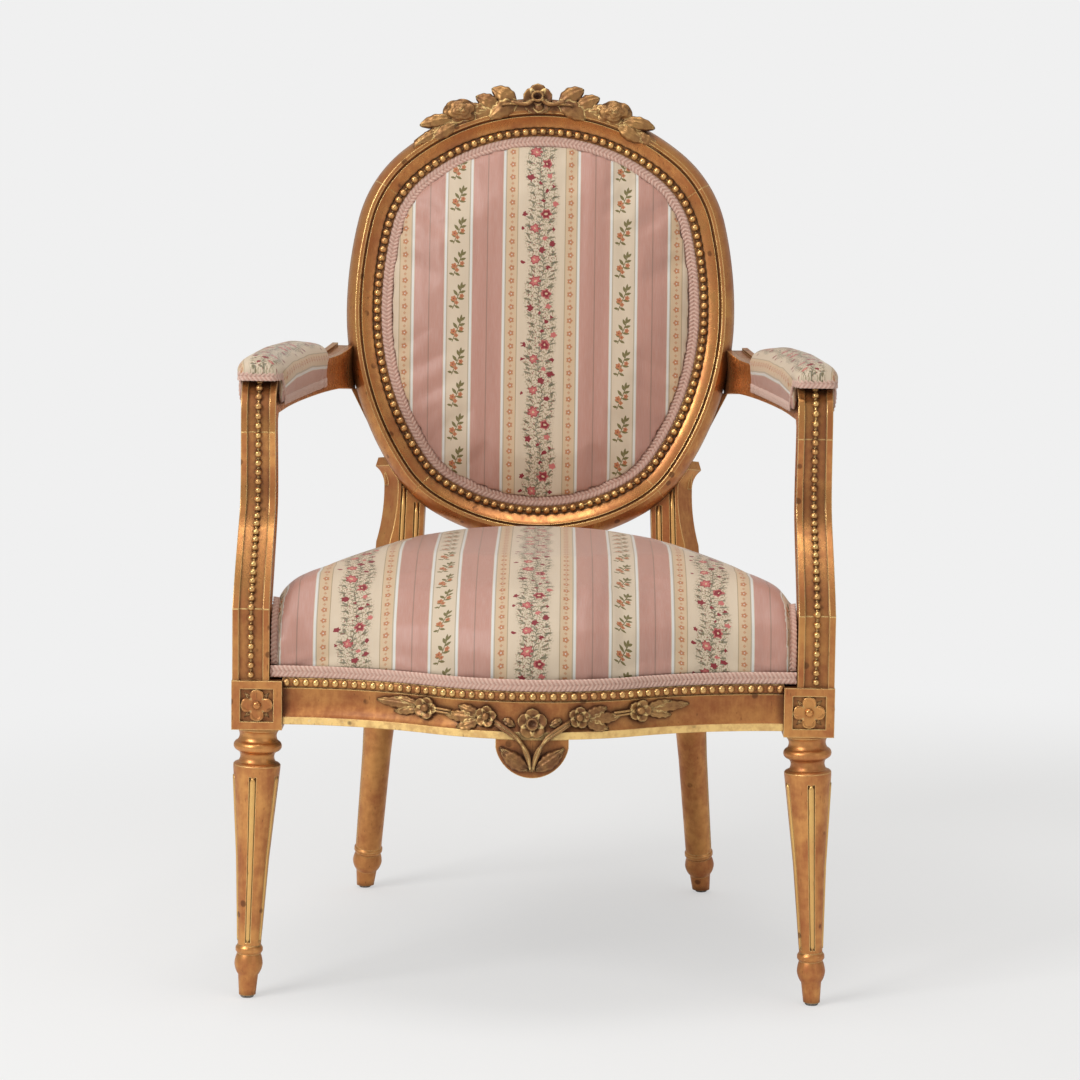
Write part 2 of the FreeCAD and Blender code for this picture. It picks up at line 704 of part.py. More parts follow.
def rear_shaft():
    """Round tapered part of the rear leg, about the Z axis from floor to block."""
    top = REAR_LEG_DIA / 2
    foot = REAR_ANKLE_DIA / 2
    ring = REAR_RING_DIA / 2
    scale = REAR_RING_DIA / ANKLE_RING_DIA
    length = math.dist((REAR_LEG_X, rear_top_y(), BLOCK_BOTTOM), (REAR_FOOT_X, REAR_FOOT_Y, 0))
    ring_z = ANKLE_RING_Z
    half = ANKLE_RING_HEIGHT / 2
    middle = ((top + foot) / 2 - SHAFT_SAG, (length + ring_z + half) / 2)
    steps = [
        ((top, length + 4),), ((top, length),), (middle,), ((foot, ring_z + half),),
        ((ring - 1.6, ring_z + half),), ((ring, ring_z + 1.6),), ((ring, ring_z - 1.6),),
        ((ring - 1.6, ring_z - half),),
        ((foot - 1, ring_z - half),),
        ((BULB_DIA / 2 * scale - 0.9, (ring_z - half + BULB_Z) / 2), (BULB_DIA / 2 * scale, BULB_Z)),
        ((BULB_DIA / 2 * scale - 1.8, (BULB_Z + TOE_TOP_Z) / 2 - 1),
         (TOE_TOP_DIA / 2 * scale, TOE_TOP_Z)),
        ((TOE_DIA / 2 * scale, 0.0),), ((TOE_DIA / 2 * scale, -2 * GLIDE_HEIGHT),),
        ((0.0, -2 * GLIDE_HEIGHT),)]
    shaft = turned((0.0, length + 4), steps)
    flute_top = (top, length + 2)
    flute_foot = (foot, ring_z + half + FLUTE_MARGIN / 2)
    for number in range(REAR_FLUTES):
        azimuth = -15 + number * 65
        shaft = shaft.cut(flute_cutter(azimuth, flute_top, middle, flute_foot))
    return shaft, length


def rear_top_y():
    return stile_front_y(BLOCK_BOTTOM) + STILE_DEPTH / 2


def stile():
    """Block, stile and console of the right rear leg, without its joints."""
    whole = stile_prism().fuse(console())
    whole = whole.common(stile_depth_solid())
    return in_back(whole.cut(oval_ring(envelope_steps(0.0))))


def rear_leg():
    shaft, length = rear_shaft()
    top = V(REAR_LEG_X, rear_top_y(), BLOCK_BOTTOM)
    shift = (REAR_FOOT_X - REAR_LEG_X, REAR_FOOT_Y - rear_top_y())
    shaft.translate(V(0, 0, BLOCK_BOTTOM - length))
    shaft = floor_cut(tilted(shaft, top, shift, BLOCK_BOTTOM))
    leg = joined([stile().cut(box(-FAR, FAR, -FAR, 2 * FAR, 0, BLOCK_BOTTOM)), shaft])
    foot = height_in_back(RAIL_TOP)
    bottom, seat, waist, shoulder, stile_top = stile_outer_steps()
    flutes = [stile_flute(155.5, 160.5, shoulder - 22, foot),
              stile_flute(140.5, 142.2, shoulder - 43, seat - 24)]
    holes = [in_back(flute) for flute in flutes]
    holes += [side_rear_tenon(JOINT_PLAY), rear_rail_tenon(JOINT_PLAY), glide_hole(REAR_FOOT)]
    holes += lap_screws(JOINT_PLAY)
    for hole in holes:
        leg = leg.cut(hole)
    return leg


# Oval back frame

def corner_centre(half, height, side, corner, end):
    """Centre of the corner arc that is tangent inside the side arc and the end arc."""
    side_centre = V(half - side, 0, 0)
    end_centre = V(0, height - end, 0)
    reach_a = side - corner
    reach_b = end - corner
    gap = (end_centre - side_centre).Length
    along = (reach_a ** 2 - reach_b ** 2 + gap ** 2) / (2 * gap)
    off = math.sqrt(reach_a ** 2 - along ** 2)
    unit = (end_centre - side_centre).normalize()
    normal = V(unit.y, -unit.x, 0)
    picks = [side_centre + unit * along + normal * off, side_centre + unit * along - normal * off]
    centre = max(picks, key=lambda p: p.x + p.y)
    low = math.degrees(math.atan2(centre.y - side_centre.y, centre.x - side_centre.x))
    high = math.degrees(math.atan2(centre.y - end_centre.y, centre.x - end_centre.x))
    return centre, low, high


def quarter_arcs(height, side, corner, end):
    """Side, corner and half end arc of one quarter: centre x, centre y, radius, two angles."""
    half = OVAL_HALF_WIDTH
    centre, low, high = corner_centre(half, height, side, corner, end)
    return [(half - side, 0.0, side, 0.0, low), (centre.x, centre.y, corner, low, high),
            (0.0, height - end, end, high, 90.0)]


UPPER = quarter_arcs(OVAL_TOP, UPPER_SIDE_RADIUS, UPPER_CORNER_RADIUS, UPPER_END_RADIUS)
LOWER = quarter_arcs(OVAL_BOTTOM, LOWER_SIDE_RADIUS, LOWER_CORNER_RADIUS, LOWER_END_RADIUS)
UPPER_JOINT = (UPPER[1][3] + UPPER[1][4]) / 2
LOWER_JOINT = (LOWER[1][3] + LOWER[1][4]) / 2


def oval_arcs():
    """All ten arcs of the oval, anticlockwise from the widest point on the right."""
    arcs = [UPPER[0], UPPER[1], (0.0, UPPER[2][1], UPPER[2][2], UPPER[2][3], 180 - UPPER[2][3])]
    arcs += [(-x, y, r, 180 - b, 180 - a) for x, y, r, a, b in (UPPER[1], UPPER[0])]
    arcs += [(-x, -y, r, 180 + a, 180 + b) for x, y, r, a, b in (LOWER[0], LOWER[1])]
    arcs += [(0.0, -LOWER[2][1], LOWER[2][2], 180 + LOWER[2][3], 360 - LOWER[2][3])]
    arcs += [(x, -y, r, 360 - b, 360 - a) for x, y, r, a, b in (LOWER[1], LOWER[0])]
    return arcs


def sector(section, spot, start, stop):
    """Moulding section carried round one arc. The section is (out of the path, forward)."""
    x, y, radius, a, b = spot
    first, steps = section

    def place(p):
        return V(radius + p[0], 0, p[1])

    solid = face_of(first, steps, place).revolve(V(0, 0, 0), V(0, 0, 1), stop - start)
    solid.rotate(V(0, 0, 0), V(0, 0, 1), start)
    solid.translate(V(x, y, 0))
    return solid


def oval_run(section, spots):
    parts = [sector(section, spot, spot[3], spot[4]) for spot in spots]
    return joined(parts)


def oval_ring(section):
    return oval_run(section, oval_arcs())


def trimmed(spot, start=None, stop=None):
    x, y, r, a, b = spot
    return (x, y, r, a if start is None else start, b if stop is None else stop)


def moulding_steps():
    """Section of the back frame: rebates, bead bed with astragal, hollow, quirk, outer round."""
    back = -MOULDING_BACK
    rebate = -REBATE_DEPTH
    rise = MOULDING_RISE
    out = MOULDING_OUT
    steps = [
        ((-MOULDING_IN, rebate),), ((-5.2, rebate),), ((-5.2, -0.6),), ((5.0, -0.6),),
        ((5.0, 1.6),), ((6.4, 2.4),), ((12.4, rise * 0.42),), ((17.0, rise * 0.84),),
        ((18.0, rise * 0.66),), ((20.4, rise * 0.95),), ((24.4, rise * 0.97),),
        ((27.4, rise * 0.76),), ((32.0, rise * 0.26),),
        ((out, -6.0),), ((out, back + 7),), ((out - 6.5, back),),
        ((-MOULDING_IN + BACK_REBATE_WIDTH, back),),
        ((-MOULDING_IN + BACK_REBATE_WIDTH, back + BACK_REBATE_DEPTH),),
        ((-MOULDING_IN, back + BACK_REBATE_DEPTH),)]
    return (-MOULDING_IN, back + BACK_REBATE_DEPTH), steps


def envelope_steps(play):
    """Outer shape of the moulding without its hollows, used to fit neighbours round it."""
    inner = -MOULDING_IN - 10
    out = MOULDING_OUT + play
    rise = MOULDING_RISE + play
    steps = [((inner, rise),), ((24.6, rise),), ((27.8, rise * 0.76),), ((out, -6.0 + play),),
             ((out, -MOULDING_BACK - play),)]
    return (inner, -MOULDING_BACK - play), steps


def joint_spots():
    """The oval's arcs shared out to the four pieces of the frame."""
    arcs = oval_arcs()
    right_up, top, left_up = arcs[1], arcs[2], arcs[3]
    left_low, bottom, right_low = arcs[6], arcs[7], arcs[8]
    upper = [trimmed(right_up, start=UPPER_JOINT), top, trimmed(left_up, stop=180 - UPPER_JOINT)]
    lower = [trimmed(left_low, start=180 + LOWER_JOINT), bottom,
             trimmed(right_low, stop=360 - LOWER_JOINT)]
    right = [trimmed(right_low, start=360 - LOWER_JOINT), arcs[9], arcs[0],
             trimmed(right_up, stop=UPPER_JOINT)]
    return upper, lower, right


def frame_dowel(spot, angle, play=0.0):
    """Dowel across a joint of the oval frame, square to the joint face."""
    x, y, radius, a, b = spot
    turn = math.radians(angle)
    reach = radius + (MOULDING_OUT - MOULDING_IN) / 2 + 2
    base = V(x + reach * math.cos(turn), y + reach * math.sin(turn), -MOULDING_BACK / 2 - 1)
    return dowel(base, V(-math.sin(turn), math.cos(turn), 0), DOWEL_LENGTH, play)


def frame_dowels(play=0.0):
    arcs = oval_arcs()
    right = [frame_dowel(arcs[1], UPPER_JOINT, play), frame_dowel(arcs[8], 360 - LOWER_JOINT, play)]
    return right + [mirrored(pin) for pin in right]


def arm_dowel(play=0.0):
    """Dowel from the arm into the side of the oval frame."""
    edge = OVAL_HALF_WIDTH + MOULDING_OUT
    level = V(edge, 0, 0)
    n = -MOULDING_BACK / 2
    s = height_in_back(ARM_REAR_Z, n)
    pin = dowel(V(level.x, s, n), V(1, 0, 0), DOWEL_LENGTH - 12, play)
    return in_back(pin)


def lap_screw_spots():
    """Places of the screws through the stile's tongue into the oval frame."""
    x, y, radius, low, high = LOWER[0]
    reach = radius + 20
    spots = []
    for angle in (25.0, 34.0):
        turn = math.radians(angle)
        spots.append(V(x + reach * math.cos(turn), y - reach * math.sin(turn), 0))
    return spots


def lap_screws(play=0.0):
    """Countersunk screws from behind, in the chair's frame."""
    parts = []
    for spot in lap_screw_spots():
        low = -STILE_FRONT - STILE_DEPTH + 12
        base = V(spot.x, spot.y, low - play)
        shank = Part.makeCylinder(SCREW_DIA / 2 + play, -MOULDING_BACK + 14 - low + play, base)
        head = Part.makeCylinder(SCREW_HEAD_DIA / 2 + play, 3.0 + play + (20 if play else 0),
                                 V(spot.x, spot.y, low - (20 if play else 0)))
        parts.append(in_back(shank.fuse(head).removeSplitter()))
    return parts


def oval_frame():
    upper, lower, right = joint_spots()
    section = moulding_steps()
    screws = lap_screws(JOINT_PLAY)
    holes = [in_back(pin) for pin in frame_dowels(JOINT_PLAY)]
    holes += [arm_dowel(JOINT_PLAY), mirrored(arm_dowel(JOINT_PLAY))]
    holes += screws + [mirrored(screw) for screw in screws]
    pieces = []
    for spots in (upper, lower, right):
        piece = in_back(oval_run(section, spots))
        for hole in holes:
            piece = piece.cut(hole)
        pieces.append(piece)
    return pieces


# Crest carving

def leaf(x, y, angle, length, width, lift, thick=6.0):
    """Pointed leaf with a raised midrib, its base at (x, y), growing along angle."""
    half = width / 2
    flat = face_of((0.0, 0.0), [((length / 2, half), (length, 0.0)),
                                ((length / 2, -half), (0.0, 0.0))], plan(-thick))
    solid = flat.extrude(V(0, 0, 2 * thick))
    ridge = face_of((half + 1, -thick - 1), [((half + 1, thick - 4),), ((0.0, thick),),
                                             ((-half - 1, thick - 4),), ((-half - 1, -thick - 1),)],
                    lambda p: V(-1, p[0], p[1])).extrude(V(length + 2, 0, 0))
    solid = solid.common(ridge)
    solid.rotate(V(0, 0, 0), V(0, 0, 1), angle)
    solid.translate(V(x, y, lift))
    return solid


def rose(x, y, radius, lift):
    """Cabbage rose: three steps of petals round a domed heart."""
    r = radius
    solid = turned((0.0, -8.0), [
        ((r * 0.9, -8.0),), ((r, -1.0),), ((r * 0.84, 4.0),), ((r * 0.68, 3.4),),
        ((r * 0.58, 7.6),), ((r * 0.42, 6.8),), ((r * 0.30, 10.0),), ((0.0, 10.5),)])
    solid.translate(V(x, y, lift))
    return solid


def flower(x, y, petal, lift):
    """Five round-ended petals and a ring."""
    parts = []
    for number in range(5):
        flat = face_of((0.0, 0.0), petal_outline(petal * 2.0, petal * 1.7), plan(-9.0))
        solid = flat.extrude(V(0, 0, 11.0))
        solid.rotate(V(0, 0, 0), V(0, 0, 1), 90 + 72 * number)
        solid.translate(V(x, y, lift))
        parts.append(solid)
    ring = turned((petal * 0.35, 1.0), [((petal * 0.9, 1.0),), ((petal * 0.8, 4.4),),
                                        ((petal * 0.5, 4.4),)])
    ring.translate(V(x, y, lift))
    return parts + [ring]


def stem(points, lift):
    """Curved stalk: a band between two arcs."""
    (ax, ay), (mx, my), (bx, by) = points
    r = STEM_RADIUS
    band = face_of((ax, ay - r), [((mx, my - r), (bx, by - r)), ((bx, by + r),),
                                  ((mx, my + r), (ax, ay + r))], plan(lift - 5.0))
    return band.extrude(V(0, 0, 5.0 + r))


def crest():
    """Carved crest: ground, middle flower, stems, leaves and two roses."""
    top = OVAL_TOP + MOULDING_OUT
    lift = MOULDING_RISE - 2.0
    end = CREST_HALF_SPAN
    edge = UPPER[2][1] + math.sqrt((UPPER_END_RADIUS + MOULDING_OUT) ** 2 - end ** 2)
    ground = face_of((-end, edge - 16), [((0.0, top - 18), (end, edge - 16)), ((end, edge),),
                                         ((0.0, top + CREST_RISE), (-end, edge))], plan(-9.0))
    parts = [ground.extrude(V(0, 0, 9.0 + lift - 4))]
    parts += flower(0.0, top + 5.0, FLOWER_PETAL_RADIUS, lift)
    bud = turned((0.0, -8.0), [((6.0, -8.0),), ((6.0, 1.0),), ((3.5, 4.2),), ((0.0, 4.8),)])
    bud.translate(V(1.0, top - 8.0, lift))
    parts.append(bud)
    for side in (1, -1):
        turn = (lambda angle: angle) if side == 1 else (lambda angle: 180 - angle)
        parts.append(leaf(side * 25, top - 3.0, turn(21), 34, 16, lift))
        parts.append(leaf(side * 44, top - 10.0, turn(24), 30, 13, lift - 1))
        parts.append(leaf(side * 23, top - 2.0, turn(-37), 38, 17, lift - 1))
        parts.append(rose(side * ROSE_X, top - 13.0, ROSE_RADIUS, lift - 2))
        parts.append(leaf(side * (ROSE_X + 12), top - 25.0, turn(-7), 40, 13, lift - 3))
        parts.append(leaf(side * (ROSE_X + 8), top - 26.0, turn(-34), 36, 14, lift - 3))
        parts.append(leaf(side * (ROSE_X + 29), top - 38.0, turn(-20), 29, 9, lift - 4))
        parts.append(stem([(side * 3.0, top + 4.0), (side * 13.0, top - 6.0),
                           (side * 28.0, top - 5.0)], lift + 1.5))
    solid = joined(parts)
    solid.translate(V(CREST_SHIFT, 0, 0))
    return in_back(solid.cut(oval_run(envelope_steps(0.0), joint_spots()[0])))


# Arm supports and arms

def bar_wire(centre, tangent, width, depth):
    """Moulded section square to a bar's line. Its show face looks along tangent x width."""
    along = V(tangent).normalize()
    across = V(along.y, -along.x, 0)
    if across.Length < 0.3:
        across = V(1, 0, 0)
    across = (across - along * across.dot(along)).normalize()
    if across.x < 0:
        across = across * -1
    show = across.cross(along) * -1
    if show.y > 0.05 or show.z < -0.05:
        show = show * -1
    start, steps = bar_steps(width, depth)
    return outline(start, steps, lambda p: centre + across * p[0] + show * p[1])


def support_wire(z, middle_y, depth, x, width):
    start, steps = bar_steps(width, depth)
    return outline(start, steps, lambda p: V(x + p[0], middle_y - p[1], z))


def arm_support():
    """Right arm support: moulded bar that sweeps back from the stub and rises to the arm."""
    foot_y = STUB_FRONT_Y + STUB_DEPTH / 2
    stations = [(0.0, foot_y, STUB_DEPTH), (0.11, foot_y + 13, 42.0), (0.26, foot_y + 33, 44.0),
                (0.41, foot_y + 54, 43.0), (0.54, foot_y + 70, 38.5), (0.68, foot_y + 74, 35.5),
                (0.84, foot_y + 71, 34.5), (1.0, ARM_FRONT_Y, ARM_WIDTH)]
    wires = []
    for share, middle_y, depth in eased(stations, 16):
        width = STUB_WIDTH + (ARM_FRONT_WIDTH - STUB_WIDTH) * share
        x = STUB_X + (ARM_FRONT_X - STUB_X) * share
        z = STUB_TOP + (SUPPORT_TOP - STUB_TOP) * share
        wires.append(support_wire(z, middle_y, depth, x, width))
    bar = lofted(wires)
    return bar.cut(stub_dowel(JOINT_PLAY)).cut(support_dowel(JOINT_PLAY))


def support_dowel(play=0.0):
    return dowel(V(ARM_FRONT_X, ARM_FRONT_Y, SUPPORT_TOP), V(0, 0, 1), DOWEL_LENGTH, play)


def arm_line():
    """Plan of the arm: one arc through its front, middle and rear."""
    front = V(ARM_FRONT_X, ARM_FRONT_Y + 20, 0)
    rear = V(ARM_REAR_X, ARM_REAR_Y, 0)
    middle = (front + rear) * 0.5 + V(9.5, 0, 0)
    circle = Part.Arc(front, middle, rear).toShape().Curve
    return circle


def arm_x(y):
    circle = arm_line()
    return circle.Center.x + math.sqrt(circle.Radius ** 2 - (y - circle.Center.y) ** 2)


def arm_heading(y):
    step = 1.0
    return V(arm_x(y + step) - arm_x(y - step), 2 * step, 0)


def arm_bar():
    """Arm without its joints: rises from the support, rolls over and runs to the back."""
    middle = ARM_TOP_FRONT - ARM_HEIGHT / 2
    x = ARM_FRONT_X
    bend = middle - SUPPORT_TOP - 10.0
    turns = [(0.0, ARM_WIDTH), (0.5, ARM_WIDTH + 8), (1.0, ARM_HEIGHT)]
    wires = [support_wire(SUPPORT_TOP, ARM_FRONT_Y, ARM_WIDTH, x, ARM_FRONT_WIDTH)]
    for share, depth in eased(turns, 8):
        turn = math.radians(90 * share)
        spot = V(x, ARM_FRONT_Y + bend * (1 - math.cos(turn)), middle - bend * (1 - math.sin(turn)))
        wires.append(bar_wire(spot, V(0, math.sin(turn), math.cos(turn)), ARM_FRONT_WIDTH, depth))
    start = ARM_FRONT_Y + bend
    runs = [(0.0, 0.0, ARM_FRONT_WIDTH, ARM_HEIGHT), (0.20, 1.0, ARM_WIDTH, ARM_HEIGHT),
            (0.47, 1.5, ARM_WIDTH, ARM_HEIGHT), (0.72, 0.0, ARM_WIDTH - 2, ARM_HEIGHT - 2),
            (0.88, 0.0, ARM_WIDTH - 4, ARM_HEIGHT + 2),
            (1.0, ARM_REAR_Z - middle, ARM_WIDTH - 6, ARM_REAR_HEIGHT)]
    for share, rise, width, height in eased(runs, 12)[1:]:
        depth = start + (ARM_REAR_Y - start) * share
        wires.append(bar_wire(V(arm_x(depth), depth, middle + rise), arm_heading(depth),
                              width, height))
    return lofted(wires)


def arm():
    bar = arm_bar().cut(in_back(oval_ring(envelope_steps(0.0))))
    solids = sorted(bar.Solids, key=lambda s: s.Volume)
    bar = solids[-1]
    return bar.cut(support_dowel(JOINT_PLAY)).cut(arm_dowel(JOINT_PLAY))


# Arm pads

def pad_wire(y, low, side, top, narrow=0.0):
    """D-shaped section of an arm pad in a plane square to the arm."""
    centre = V(arm_x(y), y, 0)
    heading = arm_heading(y).normalize()
    across = V(heading.y, -heading.x, 0)
    w = ARM_WIDTH / 2 + ARM_PAD_SIDE - narrow
    shoulder = low + (top - low) * 0.52
    steps = [((w + side, shoulder),),
             ((w * 0.84, top - (top - shoulder) * 0.26), (0.0, top)),
             ((-w * 0.84, top - (top - shoulder) * 0.26), (-w - side, shoulder)),
             ((-w, low),)]
    return outline((w, low), steps, lambda p: centre + across * p[0] + V(0, 0, p[1]))


def pad_shape(grow=0.0):
    top = ARM_TOP_FRONT + ARM_PAD_RISE + grow
    low = ARM_PAD_LOW_Z
    front = ARM_PAD_FRONT_Y - grow
    rear = ARM_PAD_REAR_Y + grow
    g = -grow
    wires = [pad_wire(front, low + 6, 0.0, top - 13, 8.0 + g),
             pad_wire(front + 4, low + 2, 0.6, top - 5, 2.5 + g),
             pad_wire(front + 16, low, 1.0, top - 0.5, 0.5 + g),
             pad_wire(front + 130, low - 2, 1.2, top + 1, 0.0 + g),
             pad_wire(rear - 100, low - 1, 1.0, top, 0.6 + g),
             pad_wire(rear - 20, low + 2, 0.6, top - 7, 2.5 + g),
             pad_wire(rear, low + 6, 0.0, top - 21, 7.5 + g)]
    return lofted(wires)


def arm_core():
    """The arm, a little swollen, to hollow the pad that sits over it."""
    gap = CLOTH_GAP
    middle = ARM_TOP_FRONT - ARM_HEIGHT / 2
    wires = []
    reach = ARM_REAR_Y - ARM_FRONT_Y
    for share, rise, width, height in ((-0.1, 0.0, ARM_WIDTH, ARM_HEIGHT),
                                       (0.065, 0.0, ARM_WIDTH, ARM_HEIGHT),
                                       (0.25, 1.0, ARM_WIDTH, ARM_HEIGHT),
                                       (0.50, 1.5, ARM_WIDTH, ARM_HEIGHT),
                                       (0.74, 0.0, ARM_WIDTH, ARM_HEIGHT),
                                       (0.90, 0.0, ARM_WIDTH, ARM_HEIGHT)):
        y = ARM_FRONT_Y + reach * share
        heading = arm_heading(y).normalize()
        across = V(heading.y, -heading.x, 0)
        centre = V(arm_x(y), y, middle + rise)
        w = width / 2 + gap
        h = height / 2 + gap
        wires.append(outline((w, -h - 20), [((w, h),), ((-w, h),), ((-w, -h - 20),)],
                             lambda p: centre + across * p[0] + V(0, 0, p[1])))
    return lofted(wires)


def arm_pad():
    """Stuffed pad that sits over the arm like a saddle."""
    pad = pad_shape().cut(arm_core())
    skirt = box(0, FAR, -FAR, ARM_PAD_SKIRT_Y, 0, ARM_TOP_FRONT + CLOTH_GAP)
    pad = pad.cut(skirt)
    return sorted(pad.Solids, key=lambda s: s.Volume)[-1]


def arm_pad_gimp():
    """Braid strips along the lower edges of the pad."""
    ring = pad_shape(GIMP_THICK).cut(pad_shape(CLOTH_GAP / 2))
    band = box(0, FAR, ARM_PAD_SKIRT_Y, ARM_PAD_REAR_Y - 12, ARM_PAD_LOW_Z,
               ARM_PAD_LOW_Z + GIMP_WIDTH - 1)
    return Part.makeCompound(ring.common(band).Solids)


# Seat upholstery

def seat_outline(inset, z):
    """Plan of the seat, smaller all round by inset: serpentine front, bowed sides."""
    fade = 1 - inset / 230.0
    half = SEAT_FRONT_HALF - inset
    rear = SEAT_REAR_HALF - inset
    end_y = RAIL_FRONT_Y + inset
    rear_y = SEAT_REAR_Y - inset
    span = RAIL_HALF_SPAN * half / SEAT_FRONT_HALF
    corner = 10.0 + 0.3 * inset
    share = (corner + 4) / (rear_y - end_y)
    a = V(half - corner, end_y, z)
    b = V(half - (half - rear) * share, end_y + corner + 4, z)
    c = V(rear + (half - rear) * share, rear_y - corner - 4, z)
    d = V(rear - corner, rear_y, z)
    mid_side = (b + c) * 0.5 + V(SIDE_BOW * fade, 0, 0)
    pull = math.sqrt(2) - 1
    corner_a = (a + b) * 0.5 * (1 - pull) + V(half, end_y, z) * pull
    corner_c = (c + d) * 0.5 * (1 - pull) + V(rear, rear_y, z) * pull

    def flip(p):
        return V(-p.x, p.y, p.z)

    bow = bow_edges(span, FRONT_BOW * fade, end_y, z)
    edges = [line(flip(a), V(-span, end_y, z))] + bow + [
        line(V(span, end_y, z), a), arc(a, corner_a, b), arc(b, mid_side, c), arc(c, corner_c, d),
        line(d, flip(d)), arc(flip(d), flip(corner_c), flip(c)),
        arc(flip(c), flip(mid_side), flip(b)), arc(flip(b), flip(corner_a), flip(a))]
    return Part.Wire(edges)


def seat_dome(shrink, low):
    """Crowned seat: upright border, rolled edge and low dome, all inside by shrink."""
    levels = [(SEAT_EDGE_INSET, low), (SEAT_EDGE_INSET, RAIL_TOP + GIMP_WIDTH),
              (SEAT_EDGE_INSET - 3.5, (RAIL_TOP + SEAT_ROLL_Z) / 2 + 4),
              (SEAT_EDGE_INSET + 4.0, SEAT_ROLL_Z),
              (SEAT_EDGE_INSET + 40.0, (SEAT_ROLL_Z + SEAT_CROWN_Z) / 2 + 5),
              (SEAT_EDGE_INSET + 120.0, SEAT_CROWN_Z)]
    wires = []
    for number, (inset, z) in enumerate(levels):
        drop = shrink if number > 1 else 0.0
        wires.append(seat_outline(inset + shrink, z - drop))
    base = Part.Face(wires[0]).extrude(V(0, 0, levels[1][1] - low))
    return base.fuse(lofted(wires[1:])).removeSplitter()


def seat_notches(grow):
    """Space round the stubs, supports and stiles that the seat is cut away for."""
    inner = STUB_X - STUB_WIDTH / 2 - grow
    back = STUB_FRONT_Y + STUB_DEPTH + grow
    parts = [box(inner, FAR, -FAR, back, 0, STUB_TOP + 1),
             box(inner, FAR, -FAR, back + 62, STUB_TOP - 8, FAR + 100)]
    stile_box = box(STILE_IN_TOP - grow, FAR, -FAR, FAR, -FAR, -STILE_FRONT + grow)
    parts.append(in_back(stile_box))
    return parts + [mirrored(part) for part in parts]


def notched(shape, grow):
    for part in seat_notches(grow):
        shape = shape.cut(part)
    return shape


def under_oval(shape):
    """Keeps the seat clear of the bottom of the oval back."""
    return shape.cut(in_back(oval_ring(envelope_steps(CLOTH_GAP))))


SEAT_BASE = RAIL_TOP + 2 * WEB_THICK + HESSIAN_THICK + 2 * CLOTH_GAP


def seat_cover():
    outer = notched(seat_dome(0.0, RAIL_TOP + CLOTH_GAP), CLOTH_GAP)
    inner = notched(seat_dome(COVER_THICK, RAIL_TOP - 10), CLOTH_GAP + COVER_THICK)
    return under_oval(outer.cut(inner))


def seat_stuffing():
    inside = COVER_THICK + CLOTH_GAP
    solid = notched(seat_dome(inside, SEAT_BASE), CLOTH_GAP + inside)
    return solid.cut(in_back(oval_ring(envelope_steps(inside + CLOTH_GAP))))


def seat_frame_prism(inset, low, high):
    flat = Part.Face(seat_outline(inset, low)).extrude(V(0, 0, high - low))
    return notched(flat, CLOTH_GAP + COVER_THICK + CLOTH_GAP)


def seat_webbing():
    """Webbing tacked over the rails: bands back to front with cross bands on them."""
    spread = (2 * SEAT_REAR_HALF - 70) / 4
    low = RAIL_TOP + CLOTH_GAP / 3
    bands = []
    for number in range(-2, 3):
        x = number * spread
        bands.append(box(x - WEB_WIDTH / 2, x + WEB_WIDTH / 2, -FAR, 2 * FAR, low,
                         low + WEB_THICK))
    pitch = SEAT_REAR_Y / 6
    for number in range(1, 6):
        y = number * pitch - 20
        bands.append(box(-FAR, FAR, y - WEB_WIDTH / 2, y + WEB_WIDTH / 2, low + WEB_THICK,
                         low + 2 * WEB_THICK))
    net = joined(bands)
    return net.common(seat_frame_prism(SEAT_EDGE_INSET + 8, low - 1, low + 4))


def seat_hessian():
    low = RAIL_TOP + CLOTH_GAP / 3 + 2 * WEB_THICK + CLOTH_GAP / 3
    return seat_frame_prism(SEAT_EDGE_INSET + 4, low, low + HESSIAN_THICK)


def seat_gimp():
    """Braid round the foot of the cover, in four runs between legs and stiles."""
    low = RAIL_TOP + CLOTH_GAP
    outside = Part.Face(seat_outline(SEAT_EDGE_INSET - CLOTH_GAP / 2 - GIMP_THICK, low))
    inside = Part.Face(seat_outline(SEAT_EDGE_INSET - CLOTH_GAP / 2, low))
    ring = outside.cut(inside).extrude(V(0, 0, GIMP_WIDTH - 1))
    ring = notched(ring, CLOTH_GAP)
    return Part.makeCompound(ring.Solids)


def dust_cover():
    """Thin cloth tacked under the seat rails."""
    low = RAIL_BOTTOM - HESSIAN_THICK - CLOTH_GAP / 3
    flat = Part.Face(seat_outline(RAIL_THICK / 2, low)).extrude(V(0, 0, HESSIAN_THICK))
    for x in (1, -1):
        corner = box(RAIL_HALF_SPAN - 1, FAR, -FAR, BLOCK_HALF + 1, 0, FAR)
        leg = box(STILE_IN_BOTTOM - 8, FAR, stile_front_y(BLOCK_BOTTOM) - 3, FAR * 2, 0, FAR)
        for part in (corner, leg):
            flat = flat.cut(part if x == 1 else mirrored(part))
    drop = box(-DROP_HALF_WIDTH - 1, DROP_HALF_WIDTH + 1, -FAR,
               RAIL_FRONT_Y - FRONT_BOW + RAIL_THICK, 0, FAR)
    return flat.cut(drop)


# Back upholstery, all in the frame of the back

def oval_wire(scale, out, n):
    edges = []
    for x, y, r, a, b in oval_arcs():
        points = []
        for angle in (a, (a + b) / 2, b):
            turn = math.radians(angle)
            reach = r * scale + out
            points.append(V(x * scale + reach * math.cos(turn),
                            y * scale + reach * math.sin(turn), n))
        edges.append(arc(*points))
    return Part.Wire(edges)


